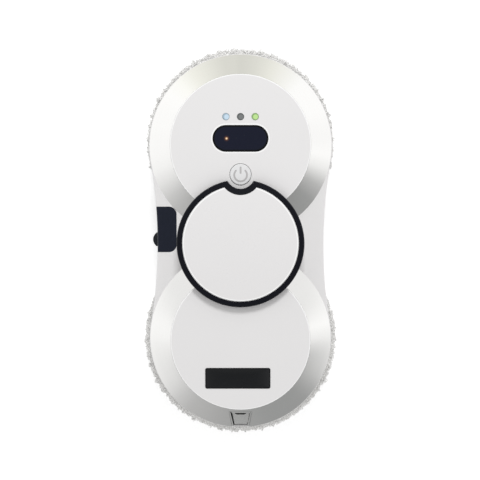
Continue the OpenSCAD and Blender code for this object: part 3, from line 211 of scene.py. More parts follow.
# Handling marks: hairline scratches in two directions, kept to patches, and a few specks of dust.
# Pairs are the two values of noise or distance between which a mark fades in.
marksLook = {
    "turns": (0.5, 2.1), "tilt": (0.1, 0.2), "stretch": (25.0, 2400.0, 60.0), "line": (0.76, 0.86),
    "patchScale": 45.0, "patch": (0.52, 0.7), "speckScale": 330.0, "speck": (0.11, 0.07),
    "draw": (0.4, 0.3, 0.3), "drawn": 0.72}


def makeHandlingMarks(look):
    group, given, made = newGroup("handlingMarks", [("place", "Vector"), ("amount", "Float")],
                                  [("scratches", "Float"), ("dust", "Float")])
    lines = []
    for turn in look["turns"]:
        along = mapped(group, given["place"], look["stretch"], (*look["tilt"], turn))
        lines.append(rangeNode(group, noiseNode(group, along, 1.0, 0.0), *look["line"]))
    patch = rangeNode(group, noiseNode(group, given["place"], look["patchScale"], 1.0), *look["patch"])
    scratches = mathNode(group, "MULTIPLY", mathNode(group, "MAXIMUM", *lines), patch)
    group.links.new(mathNode(group, "MULTIPLY", scratches, given["amount"]), made["scratches"])
    cells = group.nodes.new("ShaderNodeTexVoronoi")
    cells.inputs["Scale"].default_value = look["speckScale"]
    group.links.new(given["place"], cells.inputs["Vector"])
    speck = rangeNode(group, cells.outputs["Distance"], *look["speck"])
    lot = vectorNode(group, "DOT_PRODUCT", cells.outputs["Color"], look["draw"])
    chosen = mathNode(group, "GREATER_THAN", lot, look["drawn"])
    dust = mathNode(group, "MULTIPLY", mathNode(group, "MULTIPLY", speck, chosen), given["amount"])
    group.links.new(dust, made["dust"])
    return group


# Turned finish: fine lines round an upright axis, unbroken for some way round
turnedLook = {"wander": 1.3, "broad": 2.2}


def makeTurnedFinish(look):
    group, given, made = newGroup("turnedFinish", [
        ("place", "Vector"), ("centre", "Vector"), ("fineness", "Float")], [("lines", "Float"), ("broad", "Float")])
    fromAxis = vectorNode(group, "SUBTRACT", given["place"], given["centre"])
    local = vectorNode(group, "MULTIPLY", fromAxis, (1, 1, 0))
    radius = vectorNode(group, "LENGTH", local)
    heading = vectorNode(group, "NORMALIZE", local)
    across = group.nodes.new("ShaderNodeCombineXYZ")
    group.links.new(mathNode(group, "MULTIPLY", radius, given["fineness"]), across.inputs["Z"])
    spot = vectorNode(group, "ADD", scaled(group, heading, look["wander"]), across.outputs["Vector"])
    group.links.new(noiseNode(group, spot, 1.0, 3.0, 0.7), made["lines"])
    group.links.new(noiseNode(group, heading, look["broad"], 2.0), made["broad"])
    return group


# Round spot: 1 inside a circle about an upright axis, fading to 0 across its edge
def makeRoundSpot():
    group, given, made = newGroup("roundSpot", [
        ("place", "Vector"), ("centre", "Vector"), ("radius", "Float"), ("fade", "Float")], [("mask", "Float")])
    fromAxis = vectorNode(group, "SUBTRACT", given["place"], given["centre"])
    distance = vectorNode(group, "LENGTH", vectorNode(group, "MULTIPLY", fromAxis, (1, 1, 0)))
    low = mathNode(group, "SUBTRACT", given["radius"], given["fade"])
    high = mathNode(group, "ADD", given["radius"], given["fade"])
    group.links.new(rangeNode(group, distance, low, high, 1.0, 0.0), made["mask"])
    return group


mouldedSkin, handlingMarks = makeMouldedSkin(skinScales), makeHandlingMarks(marksLook)
turnedFinish, roundSpot = makeTurnedFinish(turnedLook), makeRoundSpot()
print("node groups made")


# A material with its shader, and the object's own coordinates to build on
def startMaterial(name):
    material = bpy.data.materials.new(name)
    material.use_nodes = True
    tree = material.node_tree
    tree.nodes.clear()
    output = tree.nodes.new("ShaderNodeOutputMaterial")
    shader = tree.nodes.new("ShaderNodeBsdfPrincipled")
    tree.links.new(shader.outputs["BSDF"], output.inputs["Surface"])
    return material, tree, shader, tree.nodes.new("ShaderNodeTexCoord").outputs["Object"]


def addBump(tree, shader, height, strength, depth):
    bump = tree.nodes.new("ShaderNodeBump")
    bump.inputs["Strength"].default_value = strength
    bump.inputs["Distance"].default_value = depth * mm
    tree.links.new(height, bump.inputs["Height"])
    tree.links.new(bump.outputs["Normal"], shader.inputs["Normal"])


# Mask of a round spot whose measures are in millimetres
def spotMask(tree, place, centre, radius, fade):
    return useGroup(tree, roundSpot, place=place, centre=[c * mm for c in centre], radius=radius * mm,
                    fade=fade * mm)["mask"]


# Moulded plastic or rubber: skin, then scratches that dull it and dust that pales it
anyPlastic = {"dustColour": (0.55, 0.54, 0.52), "dulling": 0.25, "ior": 1.5, "coat": 0.0, "coatRoughness": 0.05}


def plasticMaterial(name, finish):
    finish = {**anyPlastic, **finish}
    material, tree, shader, place = startMaterial(name)
    skin = useGroup(tree, mouldedSkin, place=place, colour=(*finish["colour"], 1.0), drift=finish["drift"],
                    grainSize=finish["grainSize"], roughness=finish["roughness"], roughDrift=finish["roughDrift"])
    marks = useGroup(tree, handlingMarks, place=place, amount=finish["marks"])
    colour = mixColour(tree, marks["dust"], skin["colour"], finish["dustColour"])
    rough = mathNode(tree, "MULTIPLY_ADD", marks["scratches"], finish["dulling"], skin["roughness"])
    tree.links.new(colour, shader.inputs["Base Color"])
    tree.links.new(rough, shader.inputs["Roughness"])
    addBump(tree, shader, skin["height"], finish["bump"], finish["depth"])
    shader.inputs["IOR"].default_value = finish["ior"]
    shader.inputs["Coat Weight"].default_value = finish["coat"]
    shader.inputs["Coat Roughness"].default_value = finish["coatRoughness"]
    return material, tree, shader, place, colour


def dress(material, *names):
    for name in names:
        nodes[name].data.materials[0] = material


# White shell: glossy white plastic with a fine grain, one lot for each moulding. A painted highlight, a thin pale
# ring, lies between two radii round each centre, and one more round the pill-shaped window.
shellFinish = {
    "colour": (0.80, 0.79, 0.79), "drift": 0.012, "grainSize": 1500.0, "roughness": 0.30, "roughDrift": 0.04,
    "marks": 0.2, "bump": 0.07, "depth": 0.02, "dustColour": (0.66, 0.65, 0.63)}
coverEdgeHighlights = {
    "centres": [(0, 70.5, 0), (0, -70.5, 0)], "radius": (50.05, 51.6), "fade": 0.15, "tint": (0.98, 0.98, 0.975),
    "pill": (75.3, 10.5), "pillEdge": (10.2625, 10.8375)}
fanCoverEdgeHighlights = {"centres": [(0, 0, 0)], "radius": (40.5, 43.0), "fade": 0.15, "tint": (0.99, 0.99, 0.985)}
fanCoverFinish = {**shellFinish, "roughness": 0.28, "marks": 0.06, "bump": 0.04}
buttonFinish = {**shellFinish, "roughness": 0.34, "colour": (0.79, 0.79, 0.795)}
baseFinish = {**shellFinish, "roughness": 0.38, "marks": 0.7, "drift": 0.02}
# painted shade: below this height the base is coloured dark, for the shade in the gap above the pad
basePaintedShade = {"top": 19.4, "fade": 0.1, "colour": (0.075, 0.075, 0.08)}


# Distance of a place, seen from above, to the middle line of a pill lying along X at centreY
def pillReach(tree, place, centreY, straight):
    axes = axesOf(tree, place)
    past = mathNode(tree, "SUBTRACT", mathNode(tree, "ABSOLUTE", axes["X"]), straight * mm)
    past = mathNode(tree, "MAXIMUM", past, 0.0)
    side = mathNode(tree, "SUBTRACT", axes["Y"], centreY * mm)
    squares = [mathNode(tree, "POWER", length, 2.0) for length in (past, side)]
    return mathNode(tree, "SQRT", mathNode(tree, "ADD", *squares))


# Painted highlight: a thin pale ring about each of its centres, painted where the rounding of a moulded face would
# catch the light
def paintedEdgeHighlights(made, edges):
    material, tree, shader, place, colour = made
    for centre in edges["centres"]:
        inner, outer = [spotMask(tree, place, centre, radius, edges["fade"]) for radius in edges["radius"]]
        colour = mixColour(tree, mathNode(tree, "SUBTRACT", outer, inner), colour, edges["tint"])
    if "pill" in edges:
        reach = pillReach(tree, place, *edges["pill"])
        low, high = edges["pillEdge"]
        colour = mixColour(tree, rangeNode(tree, reach, low * mm, high * mm, 1.0, 0.0), colour, edges["tint"])
    tree.links.new(colour, shader.inputs["Base Color"])
    return material


# Base: white like the cover, with painted shade round its foot: a dark band standing for the shade in the gap above
# the pad
def baseMaterial(finish, skirt):
    material, tree, shader, place, colour = plasticMaterial("whiteBase", finish)
    low, high = (skirt["top"] - skirt["fade"]) * mm, (skirt["top"] + skirt["fade"]) * mm
    above = rangeNode(tree, axesOf(tree, place)["Z"], low, high)
    tree.links.new(mixColour(tree, above, skirt["colour"], colour), shader.inputs["Base Color"])
    return material


# the cover and the fan cover get painted highlights round their edges
dress(paintedEdgeHighlights(plasticMaterial("whiteCover", shellFinish), coverEdgeHighlights), "top_cover")
dress(baseMaterial(baseFinish, basePaintedShade), "base_housing")
dress(paintedEdgeHighlights(plasticMaterial("whiteFanCover", fanCoverFinish), fanCoverEdgeHighlights), "fan_cover")
dress(plasticMaterial("whiteButton", buttonFinish)[0], "power_button")

# Trim rings: silver lacquer over turned plastic, its lines running round each lobe
trimFinish = {
    "colour": (0.93, 0.925, 0.915), "roughness": 0.10, "lineRoughness": 0.05, "lineTone": 0.05, "broadTone": 0.03,
    "fineness": 3500.0, "marks": 0.5, "dulling": 0.12, "bump": 0.15, "depth": 0.006, "lobeY": 70.5}


def trimMaterial(name, finish, lobeY):
    material, tree, shader, place = startMaterial(name)
    lacquer = useGroup(tree, turnedFinish, place=place, centre=(0, lobeY * mm, 0), fineness=finish["fineness"])
    tone = 1.0
    for pattern, amount in (("lines", finish["lineTone"]), ("broad", finish["broadTone"])):
        level = mathNode(tree, "SUBTRACT", lacquer[pattern], 0.5)
        tone = mathNode(tree, "MULTIPLY_ADD", level, amount, tone)
    colour = scaled(tree, finish["colour"], tone)
    marks = useGroup(tree, handlingMarks, place=place, amount=finish["marks"])
    rough = mathNode(tree, "MULTIPLY_ADD", lacquer["lines"], finish["lineRoughness"], finish["roughness"])
    rough = mathNode(tree, "MULTIPLY_ADD", marks["scratches"], finish["dulling"], rough)
    tree.links.new(colour, shader.inputs["Base Color"])
    tree.links.new(rough, shader.inputs["Roughness"])
    addBump(tree, shader, lacquer["lines"], finish["bump"], finish["depth"])
    shader.inputs["Metallic"].default_value = 1.0
    return material, tree, shader, place, colour


dress(trimMaterial("silverTrimFront", trimFinish, trimFinish["lobeY"])[0], "front_trim_ring")
dress(trimMaterial("silverTrimRear", trimFinish, -trimFinish["lobeY"])[0], "rear_trim_ring")

# Nozzle: the same lacquer, with painted shadow lines along the recess and a painted dark band round the jet's slot,
# standing for their shade. Its half width grows with Y, by the first number of taper. Each line is a band of places
# within a half width of its middle, as dark as its third number says.
nozzleFinish = {
    **trimFinish, "roughness": 0.24, "paintedShadowColour": (0.02, 0.02, 0.021), "taper": (0.18376, 30.01), "fade": 0.08,
    "outside": 0.1, "left": (0.3, 0.42, 1.0), "right": (0.1, 0.2, 0.5), "top": (-124.6, 0.22, 0.6),
    "bottom": (-135.8, 0.35, 0.85), "slotX": (0, 4.1, 1.0), "slotY": (-125.15, 0.95, 1.0)}


def nozzleMaterial(finish):
    material, tree, shader, place, lacquer = trimMaterial("silverNozzle", finish, -finish["lobeY"])
    axes = axesOf(tree, place)

    def band(value, line):
        middle, half, dark = finish[line]
        away = mathNode(tree, "ABSOLUTE", mathNode(tree, "SUBTRACT", value, middle * mm))
        return rangeNode(tree, away, (half - finish["fade"]) * mm, (half + finish["fade"]) * mm, dark, 0.0)

    halfWidth = mathNode(tree, "MULTIPLY_ADD", axes["Y"], finish["taper"][0], finish["taper"][1] * mm)
    fromLeft = mathNode(tree, "ADD", halfWidth, axes["X"])
    fromRight = mathNode(tree, "SUBTRACT", halfWidth, axes["X"])
    nearest = mathNode(tree, "MINIMUM", fromLeft, fromRight)
    inside = mathNode(tree, "GREATER_THAN", nearest, -finish["outside"] * mm)
    shade = mathNode(tree, "MAXIMUM", band(axes["Y"], "top"), band(axes["Y"], "bottom"))
    shade = mathNode(tree, "MULTIPLY", shade, inside)
    slot = mathNode(tree, "MULTIPLY", band(axes["X"], "slotX"), band(axes["Y"], "slotY"))
    for line in (band(fromLeft, "left"), band(fromRight, "right"), slot):
        shade = mathNode(tree, "MAXIMUM", shade, line)
    # painted shadow: the lacquer turns dark along the recess's edges and round the jet's slot
    tree.links.new(mixColour(tree, shade, lacquer, finish["paintedShadowColour"]), shader.inputs["Base Color"])
    return material


dress(nozzleMaterial(nozzleFinish), "nozzle_housing")

# Plastics and rubbers that need no more than the moulded skin
plainFinish = {
    "drift": 0.03, "grainSize": 1100.0, "roughness": 0.45, "roughDrift": 0.06, "marks": 0.6, "bump": 0.2,
    "depth": 0.03}
finishes = {
    "blackRing": ({
        "colour": (0.0036, 0.0042, 0.0082), "roughness": 0.16, "roughDrift": 0.03, "bump": 0.05, "depth": 0.01,
        "grainSize": 700.0, "marks": 0.35, "dustColour": (0.2, 0.2, 0.2)}, ["exhaust_ring"]),
    "tankSmoke": ({
        "colour": (0.0145, 0.0175, 0.0285), "roughness": 0.12, "ior": 1.38, "roughDrift": 0.03, "bump": 0.04,
        "depth": 0.01, "grainSize": 500.0, "marks": 0.4, "dustColour": (0.2, 0.2, 0.22)}, ["water_tank"]),
    "plugRubber": ({
        "colour": (0.012, 0.0145, 0.021), "roughness": 0.5, "grainSize": 1800.0, "bump": 0.3}, [
        "tank_plug", "front_disc_seal", "rear_disc_seal"]),
    "blackPlastic": ({"colour": (0.02, 0.02, 0.022), "roughness": 0.42}, [
        "infrared_receiver", "buzzer", "switch_plunger", "dc_jack", "fan_impeller"]),
    "jetBlack": ({"colour": (0.002, 0.002, 0.002), "roughness": 0.6, "ior": 1.2, "marks": 0.0}, ["spray_jet"]),
    "greyPlastic": ({"colour": (0.36, 0.37, 0.38), "roughness": 0.48}, [
        "power_switch", "spray_pump", "battery_tray", "fan_housing", "fan_diffuser", "front_mop_disc",
        "rear_mop_disc", "front_pad_ring", "rear_pad_ring"]),
    "siliconeHose": ({"colour": (0.66, 0.69, 0.70), "roughness": 0.35, "coat": 0.1}, ["water_hose"]),
    "cellWrap": ({"colour": (0.03, 0.12, 0.34), "roughness": 0.25, "grainSize": 400.0, "bump": 0.1}, [
        "battery_cells"]),
    "gearNylon": ({"colour": (0.74, 0.73, 0.67), "roughness": 0.4}, ["front_drive_gear", "rear_drive_gear"]),
    "amberLens": ({"colour": (0.85, 0.34, 0.08), "roughness": 0.2}, ["charge_lamp"]),
}
for finishName, (finish, finishNodes) in finishes.items():
    dress(plasticMaterial(finishName, {**plainFinish, **finish})[0], *finishNodes)

# Metals: drawn or turned, with fine lines along one axis of the part's own coordinates, and a faint stain
anyMetal = {
    "stainScale": 130.0, "tone": 0.90, "lineTone": 0.10, "stainTone": 0.08, "lineRoughness": 0.12, "bump": 0.2,
    "depth": 0.01}
metalFinishes = {
    "brightSteel": ({"colour": (0.62, 0.63, 0.65), "roughness": 0.24, "stretch": (900.0, 900.0, 40.0)}, [
        "fan_motor", "fan_shaft", "front_drive_motor", "rear_drive_motor", "front_motor_bracket",
        "rear_motor_bracket", "front_motor_shaft", "rear_motor_shaft", "front_axle", "rear_axle",
        "front_hub_screw", "rear_hub_screw", "housing_screws", "bracket_screws", "board_screws", "fan_screws"]),
    "sinteredBrass": ({"colour": (0.66, 0.47, 0.20), "roughness": 0.3, "stretch": (700.0, 700.0, 120.0)}, [
        "front_pinion", "rear_pinion", "front_bush", "rear_bush"]),
}


def metalMaterial(name, finish):
    material, tree, shader, place = startMaterial(name)
    lines = noiseNode(tree, mapped(tree, place, finish["stretch"]), 1.0, 3.0, 0.6)
    stain = noiseNode(tree, place, finish["stainScale"], 3.0)
    tone = mathNode(tree, "MULTIPLY_ADD", lines, finish["lineTone"], finish["tone"])
    tone = mathNode(tree, "MULTIPLY_ADD", stain, finish["stainTone"], tone)
    rough = mathNode(tree, "MULTIPLY_ADD", lines, finish["lineRoughness"], finish["roughness"])
    tree.links.new(scaled(tree, finish["colour"], tone), shader.inputs["Base Color"])
    tree.links.new(rough, shader.inputs["Roughness"])
    addBump(tree, shader, lines, finish["bump"], finish["depth"])
    shader.inputs["Metallic"].default_value = 1.0
    return material


for finishName, (finish, finishNodes) in metalFinishes.items():
    dress(metalMaterial(finishName, {**anyMetal, **finish}), *finishNodes)

# Sensor window: dark gloss with a black rim, and the lamp behind it glowing through near its left end
windowFinish = {
    "colour": (0.0085, 0.0105, 0.0235), "drift": 0.06, "grainSize": 500.0, "roughness": 0.1, "roughDrift": 0.03,
    "marks": 0.08, "bump": 0.03, "depth": 0.01, "dustColour": (0.2, 0.2, 0.22), "centreY": 75.3,
    "halfLength": 19.95, "halfWidth": 9.4, "rim": 1.25, "rimFade": 0.15, "rimColour": (0.0035, 0.004, 0.005)}
windowLamp = {
    "centre": (-10.0, 75.2, 0), "core": (0.75, 0.45), "halo": (1.265, 1.15), "coreColour": (1.0, 0.72, 0.44),
    "haloColour": (0.60, 0.22, 0.05), "haloGlow": 0.25}


def windowMaterial(finish, lamp):
    material, tree, shader, place, colour = plasticMaterial("darkWindow", finish)
    reach = pillReach(tree, place, finish["centreY"], finish["halfLength"] - finish["halfWidth"])
    edge = finish["halfWidth"] - finish["rim"]
    rim = rangeNode(tree, reach, (edge - finish["rimFade"]) * mm, (edge + finish["rimFade"]) * mm)
    tree.links.new(mixColour(tree, rim, colour, finish["rimColour"]), shader.inputs["Base Color"])
    core, halo = [spotMask(tree, place, lamp["centre"], *lamp[part]) for part in ("core", "halo")]
    level = mathNode(tree, "MULTIPLY_ADD", core, 1.0 - lamp["haloGlow"], lamp["haloGlow"])
    glow = mixColour(tree, core, lamp["haloColour"], lamp["coreColour"])
    glow = scaled(tree, glow, mathNode(tree, "MULTIPLY", halo, level))
    tree.links.new(glow, shader.inputs["Emission Color"])
    shader.inputs["Emission Strength"].default_value = 1.0
    return material


dress(windowMaterial(windowFinish, windowLamp), "sensor_window")

# Status lights: milky lenses, paler at the middle, with painted shade round them: the wall round each lens is
# coloured darker, standing for the shade in its recess. Each has its node, its X, and the colours of its wall (with
# the painted shade) and its lens.
lightFinish = {
    "drift": 0.03, "grainSize": 900.0, "roughness": 0.18, "roughDrift": 0.03, "marks": 0.2, "bump": 0.04,
    "depth": 0.01, "lens": 1.75, "fade": 0.35, "lightsY": 90.67}
statusLights = {
    "blueLens": ("left_status_light", -9.96, (0.36, 0.47, 0.55), (0.58, 0.73, 0.86)),
    "greyLens": ("middle_status_light", 0.28, (0.12, 0.13, 0.13), (0.20, 0.21, 0.21)),
    "greenLens": ("right_status_light", 10.81, (0.28, 0.45, 0.18), (0.52, 0.78, 0.30)),
}


def lensMaterial(name, finish, centreX, shadedWallColour, lensColour):
    material, tree, shader, place, colour = plasticMaterial(name, {**finish, "colour": shadedWallColour})
    # painted shade: outside the lens the wall's darker colour stands for the shade in the recess
    lens = spotMask(tree, place, (centreX, finish["lightsY"], 0), finish["lens"], finish["fade"])
    tree.links.new(mixColour(tree, lens, colour, lensColour), shader.inputs["Base Color"])
    return material


for lensName, (lightNode, *lensLook) in statusLights.items():
    dress(lensMaterial(lensName, lightFinish, *lensLook), lightNode)

# Control board: green lacquer over copper tracks, a grid of lines thinned by noise
boardFinish = {
    "lacquer": (0.012, 0.10, 0.045), "track": (0.03, 0.19, 0.08), "pitch": 140.0, "line": (0.72, 0.82),
    "patchScale": 160.0, "patch": (0.5, 0.56), "roughness": 0.32, "trackGloss": -0.08, "bump": 0.4, "depth": 0.03}


def boardMaterial(finish):
    material, tree, shader, place = startMaterial("greenBoard")
    lines = []
    for axis in ("X", "Y"):
        bands = tree.nodes.new("ShaderNodeTexWave")
        bands.bands_direction = axis
        bands.inputs["Scale"].default_value = finish["pitch"]
        tree.links.new(place, bands.inputs["Vector"])
        lines.append(rangeNode(tree, bands.outputs["Fac"], *finish["line"]))
    kept = rangeNode(tree, noiseNode(tree, place, finish["patchScale"], 1.0), *finish["patch"])
    tracks = mathNode(tree, "MULTIPLY", mathNode(tree, "MAXIMUM", *lines), kept)
    rough = mathNode(tree, "MULTIPLY_ADD", tracks, finish["trackGloss"], finish["roughness"])
    tree.links.new(mixColour(tree, tracks, finish["lacquer"], finish["track"]), shader.inputs["Base Color"])
    tree.links.new(rough, shader.inputs["Roughness"])
    addBump(tree, shader, tracks, finish["bump"], finish["depth"])
    return material


dress(boardMaterial(boardFinish), "control_board")
print("materials made")

# Mop pads: a ring of backing cloth stretched over the disc's edge, with uncut terry loops all over its outside.
# Radii and heights are from the pad's axis and from the glass.
padShape = {
    "hole": 44.1, "bottom": 1.5, "top": 12.0, "discTop": 11.05, "discFoot": 7.95, "discEdge": 69.2,
    "lipInner": 61.1, "holeBevel": 1.2, "lowRound": 4.0, "highRound": 1.0, "roundSteps": (7, 5), "flatSteps": 6,
    "flatMargin": 2, "around": 240, "backingTint": 0.25}
pileShape = {
    "from": 47.2, "lipTo": 64.5, "rowGap": 1.45, "loopGap": 1.5, "highRows": 3, "width": (1.2, 2.2),
    "height": (1.0, 2.9), "pressed": 0.6, "tufts": (43, 67, 101), "swell": 0.16, "yarn": 0.31,
    "yarnSpread": (0.8, 1.2), "stray": 0.28, "slide": 0.35, "curl": 0.35, "lean": 0.55, "sunk": 0.2, "bulge": 0.25,
    "arch": (-20, 200), "rings": 7, "sides": (90, 210, 330), "room": (0.03, 14.2)}


# Roundings at the cloth's edge, under it and over it: at each turn, in radians from level, the point in
# (radius, height) is the rounding's centre plus its radius along the turn
def lowCorner(shape, edge, turns):
    height = shape["bottom"] + shape["lowRound"] * (1 + np.sin(turns))
    return np.stack([edge - shape["lowRound"] * (1 - np.cos(turns)), height], 1)


def highCorner(shape, edge, turns):
    height = shape["top"] - shape["highRound"] * (1 - np.sin(turns))
    return np.stack([edge - shape["highRound"] * (1 - np.cos(turns)), height], 1)


# Backing: the closed outline of the cloth in (radius, height), turned about the disc's axis
def backingRing(shape, edge):
    hole, bottom, bevel = shape["hole"], shape["bottom"], shape["holeBevel"]
    low = lowCorner(shape, edge, np.radians(np.linspace(-90, 0, shape["roundSteps"][0])))
    high = highCorner(shape, edge, np.radians(np.linspace(0, 90, shape["roundSteps"][1])))
    flatEnd = edge - shape["lowRound"] - shape["flatMargin"]
    flat = np.stack([np.linspace(hole + bevel, flatEnd, shape["flatSteps"]), np.full(shape["flatSteps"], bottom)], 1)
    outline = np.concatenate([
        [[hole, shape["discFoot"]], [hole, bottom + bevel]], flat, low, high,
        [[shape["lipInner"], shape["top"]], [shape["lipInner"], shape["discTop"]],
         [shape["discEdge"], shape["discTop"]], [shape["discEdge"], shape["discFoot"]]]])
    return turned(outline, shape["around"]), gridQuads(len(outline), shape["around"], rowsClosed=True)


# Rows of loop roots: points at even steps along the outside of the outline, each with its normal, both in
# (radius, height): the flat underside, the low rounding, the side, the high rounding and the lip
def pileRows(shape, pile, edge):
    bottom, top, lowRound, highRound = [shape[key] for key in ("bottom", "top", "lowRound", "highRound")]

    def steps(length):
        return max(2, int(round(length / pile["rowGap"])))

    start, end = pile["from"], edge - lowRound
    radius = np.linspace(start, end, steps(end - start), endpoint=False)
    flat = np.stack([radius, 0 * radius + bottom, 0 * radius, 0 * radius - 1], 1)
    turns = np.linspace(-np.pi / 2, 0, steps(lowRound * np.pi / 2), endpoint=False)
    low = np.column_stack([lowCorner(shape, edge, turns), np.cos(turns), np.sin(turns)])
    rise = np.linspace(bottom + lowRound, top - highRound, steps(top - bottom - lowRound - highRound), endpoint=False)
    side = np.stack([0 * rise + edge, rise, 0 * rise + 1, 0 * rise], 1)
    turns = np.linspace(0, np.pi / 2, pile["highRows"], endpoint=False)
    high = np.column_stack([highCorner(shape, edge, turns), np.cos(turns), np.sin(turns)])
    inner = np.arange(edge - highRound, pile["lipTo"], -pile["rowGap"])
    lip = np.stack([inner, 0 * inner + top, 0 * inner, 0 * inner + 1], 1)
    return np.concatenate([flat, low, side, high, lip])


# Loops: each is an arch of yarn on its root, swept as a three-sided tube. Along the arch the turn a runs from -20 to
# 200 degrees: cos(a) gives its place across, sin(a) its height, sin(2a) a sideways curl, and height squared a lean.
# Sines of the turn round the pad swell the heights into tufts.
def terryLoops(shape, pile, edge, seed):
    random = np.random.default_rng(seed)
    rows = pileRows(shape, pile, edge)
    counts = np.maximum(1, (2 * np.pi * rows[:, 0] / pile["loopGap"]).astype(int))
    root = np.repeat(rows, counts, axis=0)
    count = len(root)
    order = np.arange(count) - np.repeat(np.cumsum(counts) - counts, counts)
    phase = np.repeat(random.random(len(rows)), counts)
    angle = 2 * np.pi * (order + phase + random.normal(0, pile["stray"], count)) / np.repeat(counts, counts)
    slide = random.normal(0, pile["slide"], count)
    cosine, sine, nothing = np.cos(angle), np.sin(angle), np.zeros(count)
    normal = unit(np.stack([root[:, 2] * cosine, root[:, 2] * sine, root[:, 3]], 1))
    ahead = np.stack([-sine, cosine, nothing], 1)
    along = np.cross(normal, ahead)
    base = np.stack([root[:, 0] * cosine, root[:, 0] * sine, root[:, 1]], 1) + along * slide[:, None]
    turn = random.uniform(0, np.pi, count)
    across = ahead * np.cos(turn)[:, None] + along * np.sin(turn)[:, None]
    beside = np.cross(normal, across)
    width = random.uniform(*pile["width"], count)
    under = root[:, 3] < -0.5  # roots that face down are pressed on the glass
    height = random.uniform(*pile["height"], count) * np.where(under, pile["pressed"], 1.0)
    for waves, swell in zip(pile["tufts"], random.uniform(0, 2 * np.pi, len(pile["tufts"]))):
        height *= 1 + pile["swell"] * np.sin(waves * angle + swell)
    curl, lean = random.normal(0, pile["curl"], count), random.normal(0, pile["lean"], (count, 2))
    a = np.radians(np.linspace(*pile["arch"], pile["rings"]))
    rise = (np.sin(a) - np.sin(a[0])) / (1 - np.sin(a[0]))
    path = (base[:, None] - pile["sunk"] * normal[:, None]
            + across[:, None] * (0.5 * width[:, None] * np.cos(a) * (1 + pile["bulge"] * np.sin(a)))[..., None]
            + normal[:, None] * (height[:, None] * rise)[..., None]
            + beside[:, None] * (curl[:, None] * width[:, None] * np.sin(2 * a))[..., None]
            + (ahead[:, None] * lean[:, None, :1] + along[:, None] * lean[:, None, 1:]) * (rise ** 2)[:, None])
    tangent = unit(np.gradient(path, axis=1))
    first = unit(np.cross(tangent, beside[:, None]))
    second = np.cross(tangent, first)
    corner = np.radians(pile["sides"])[:, None]
    yarn = pile["yarn"] * random.uniform(*pile["yarnSpread"], count)
    tube = path[:, :, None] + yarn[:, None, None, None] * (
        first[:, :, None] * np.cos(corner) + second[:, :, None] * np.sin(corner))
    tube[..., 2] = np.clip(tube[..., 2], *pile["room"])
    sides = len(corner)
    last = sides * (pile["rings"] - 1)
    starts = sides * pile["rings"] * np.arange(count)[:, None, None]
    quads = (starts + gridQuads(pile["rings"], sides)[None]).reshape(-1, 4)
    caps = (starts + np.array([[0, 2, 1], [last, last + 1, last + 2]])[None]).reshape(-1, 3)
    tint = np.repeat(random.random(count), sides * pile["rings"])
    return tube.reshape(-1, 3), quads, caps, tint


# Terry cloth: each loop has its own share of the pale colour, with fine fibres and slow patches over it, and a little
# painted glow
padCloth = {
    "colour": (0.94, 0.935, 0.925), "dark": (0.66, 0.655, 0.64), "fibre": 2600.0, "patch": 40.0, "tintShare": 0.55,
    "fibreShare": 0.35, "patchShare": 0.3, "roughness": 0.85, "fibreRoughness": 0.1, "bump": 0.5, "depth": 0.12,
    "sheen": (0.3, 0.5), "paintedGlow": 0.15}


def clothMaterial(finish):
    material, tree, shader, place = startMaterial("terryCloth")
    tint = tree.nodes.new("ShaderNodeAttribute")
    tint.attribute_name = "yarnTint"
    fibre = noiseNode(tree, place, finish["fibre"], 2.0, 0.7)
    patch = noiseNode(tree, place, finish["patch"], 3.0)
    share = mathNode(tree, "MULTIPLY", fibre, finish["fibreShare"])
    share = mathNode(tree, "MULTIPLY_ADD", tint.outputs["Fac"], finish["tintShare"], share)
    share = mathNode(tree, "MULTIPLY_ADD", patch, finish["patchShare"], share)
    rough = mathNode(tree, "MULTIPLY_ADD", fibre, finish["fibreRoughness"], finish["roughness"])
    tree.links.new(mixColour(tree, share, finish["dark"], finish["colour"]), shader.inputs["Base Color"])
    tree.links.new(rough, shader.inputs["Roughness"])
    addBump(tree, shader, fibre, finish["bump"], finish["depth"])
    shader.inputs["Sheen Weight"].default_value, shader.inputs["Sheen Roughness"].default_value = finish["sheen"]
    # painted light: the yarn glows a little of its own, standing for the light that soaks through it from all sides,
    # so it is never quite dark
    shader.inputs["Emission Color"].default_value = (*finish["colour"], 1.0)
    shader.inputs["Emission Strength"].default_value = finish["paintedGlow"]
    return material


terryCloth = clothMaterial(padCloth)


def mopPile(name, body, node, axisY, edge, seed):
    ringPoints, ringQuads = backingRing(padShape, edge)
    loopPoints, loopQuads, caps, tint = terryLoops(padShape, pileShape, edge, seed)
    points = np.concatenate([ringPoints, loopPoints]) + (0, axisY, 0)
    pile = putMesh(name, points, np.concatenate([ringQuads, loopQuads + len(ringPoints)]), caps + len(ringPoints))
    shade = pile.data.attributes.new("yarnTint", "FLOAT", "POINT")
    tints = np.concatenate([np.full(len(ringPoints), padShape["backingTint"]), tint])
    shade.data.foreach_set("value", tints.astype(np.float32))
    pile.data.materials.append(terryCloth)
    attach(pile, body)
    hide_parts(node)
    print(name, len(caps) // 2, "loops")


# The rear cloth is cut a little wider, and each pad draws its own loops
mopPads = {
    "frontMopPile": {"body": "front_mop", "node": "front_mop_pad", "axisY": 75.5, "edge": 69.6, "seed": 11},
    "rearMopPile": {"body": "rear_mop", "node": "rear_mop_pad", "axisY": -75.5, "edge": 71.9, "seed": 12},
}
for pileName, pad in mopPads.items():
    mopPile(pileName, **pad)


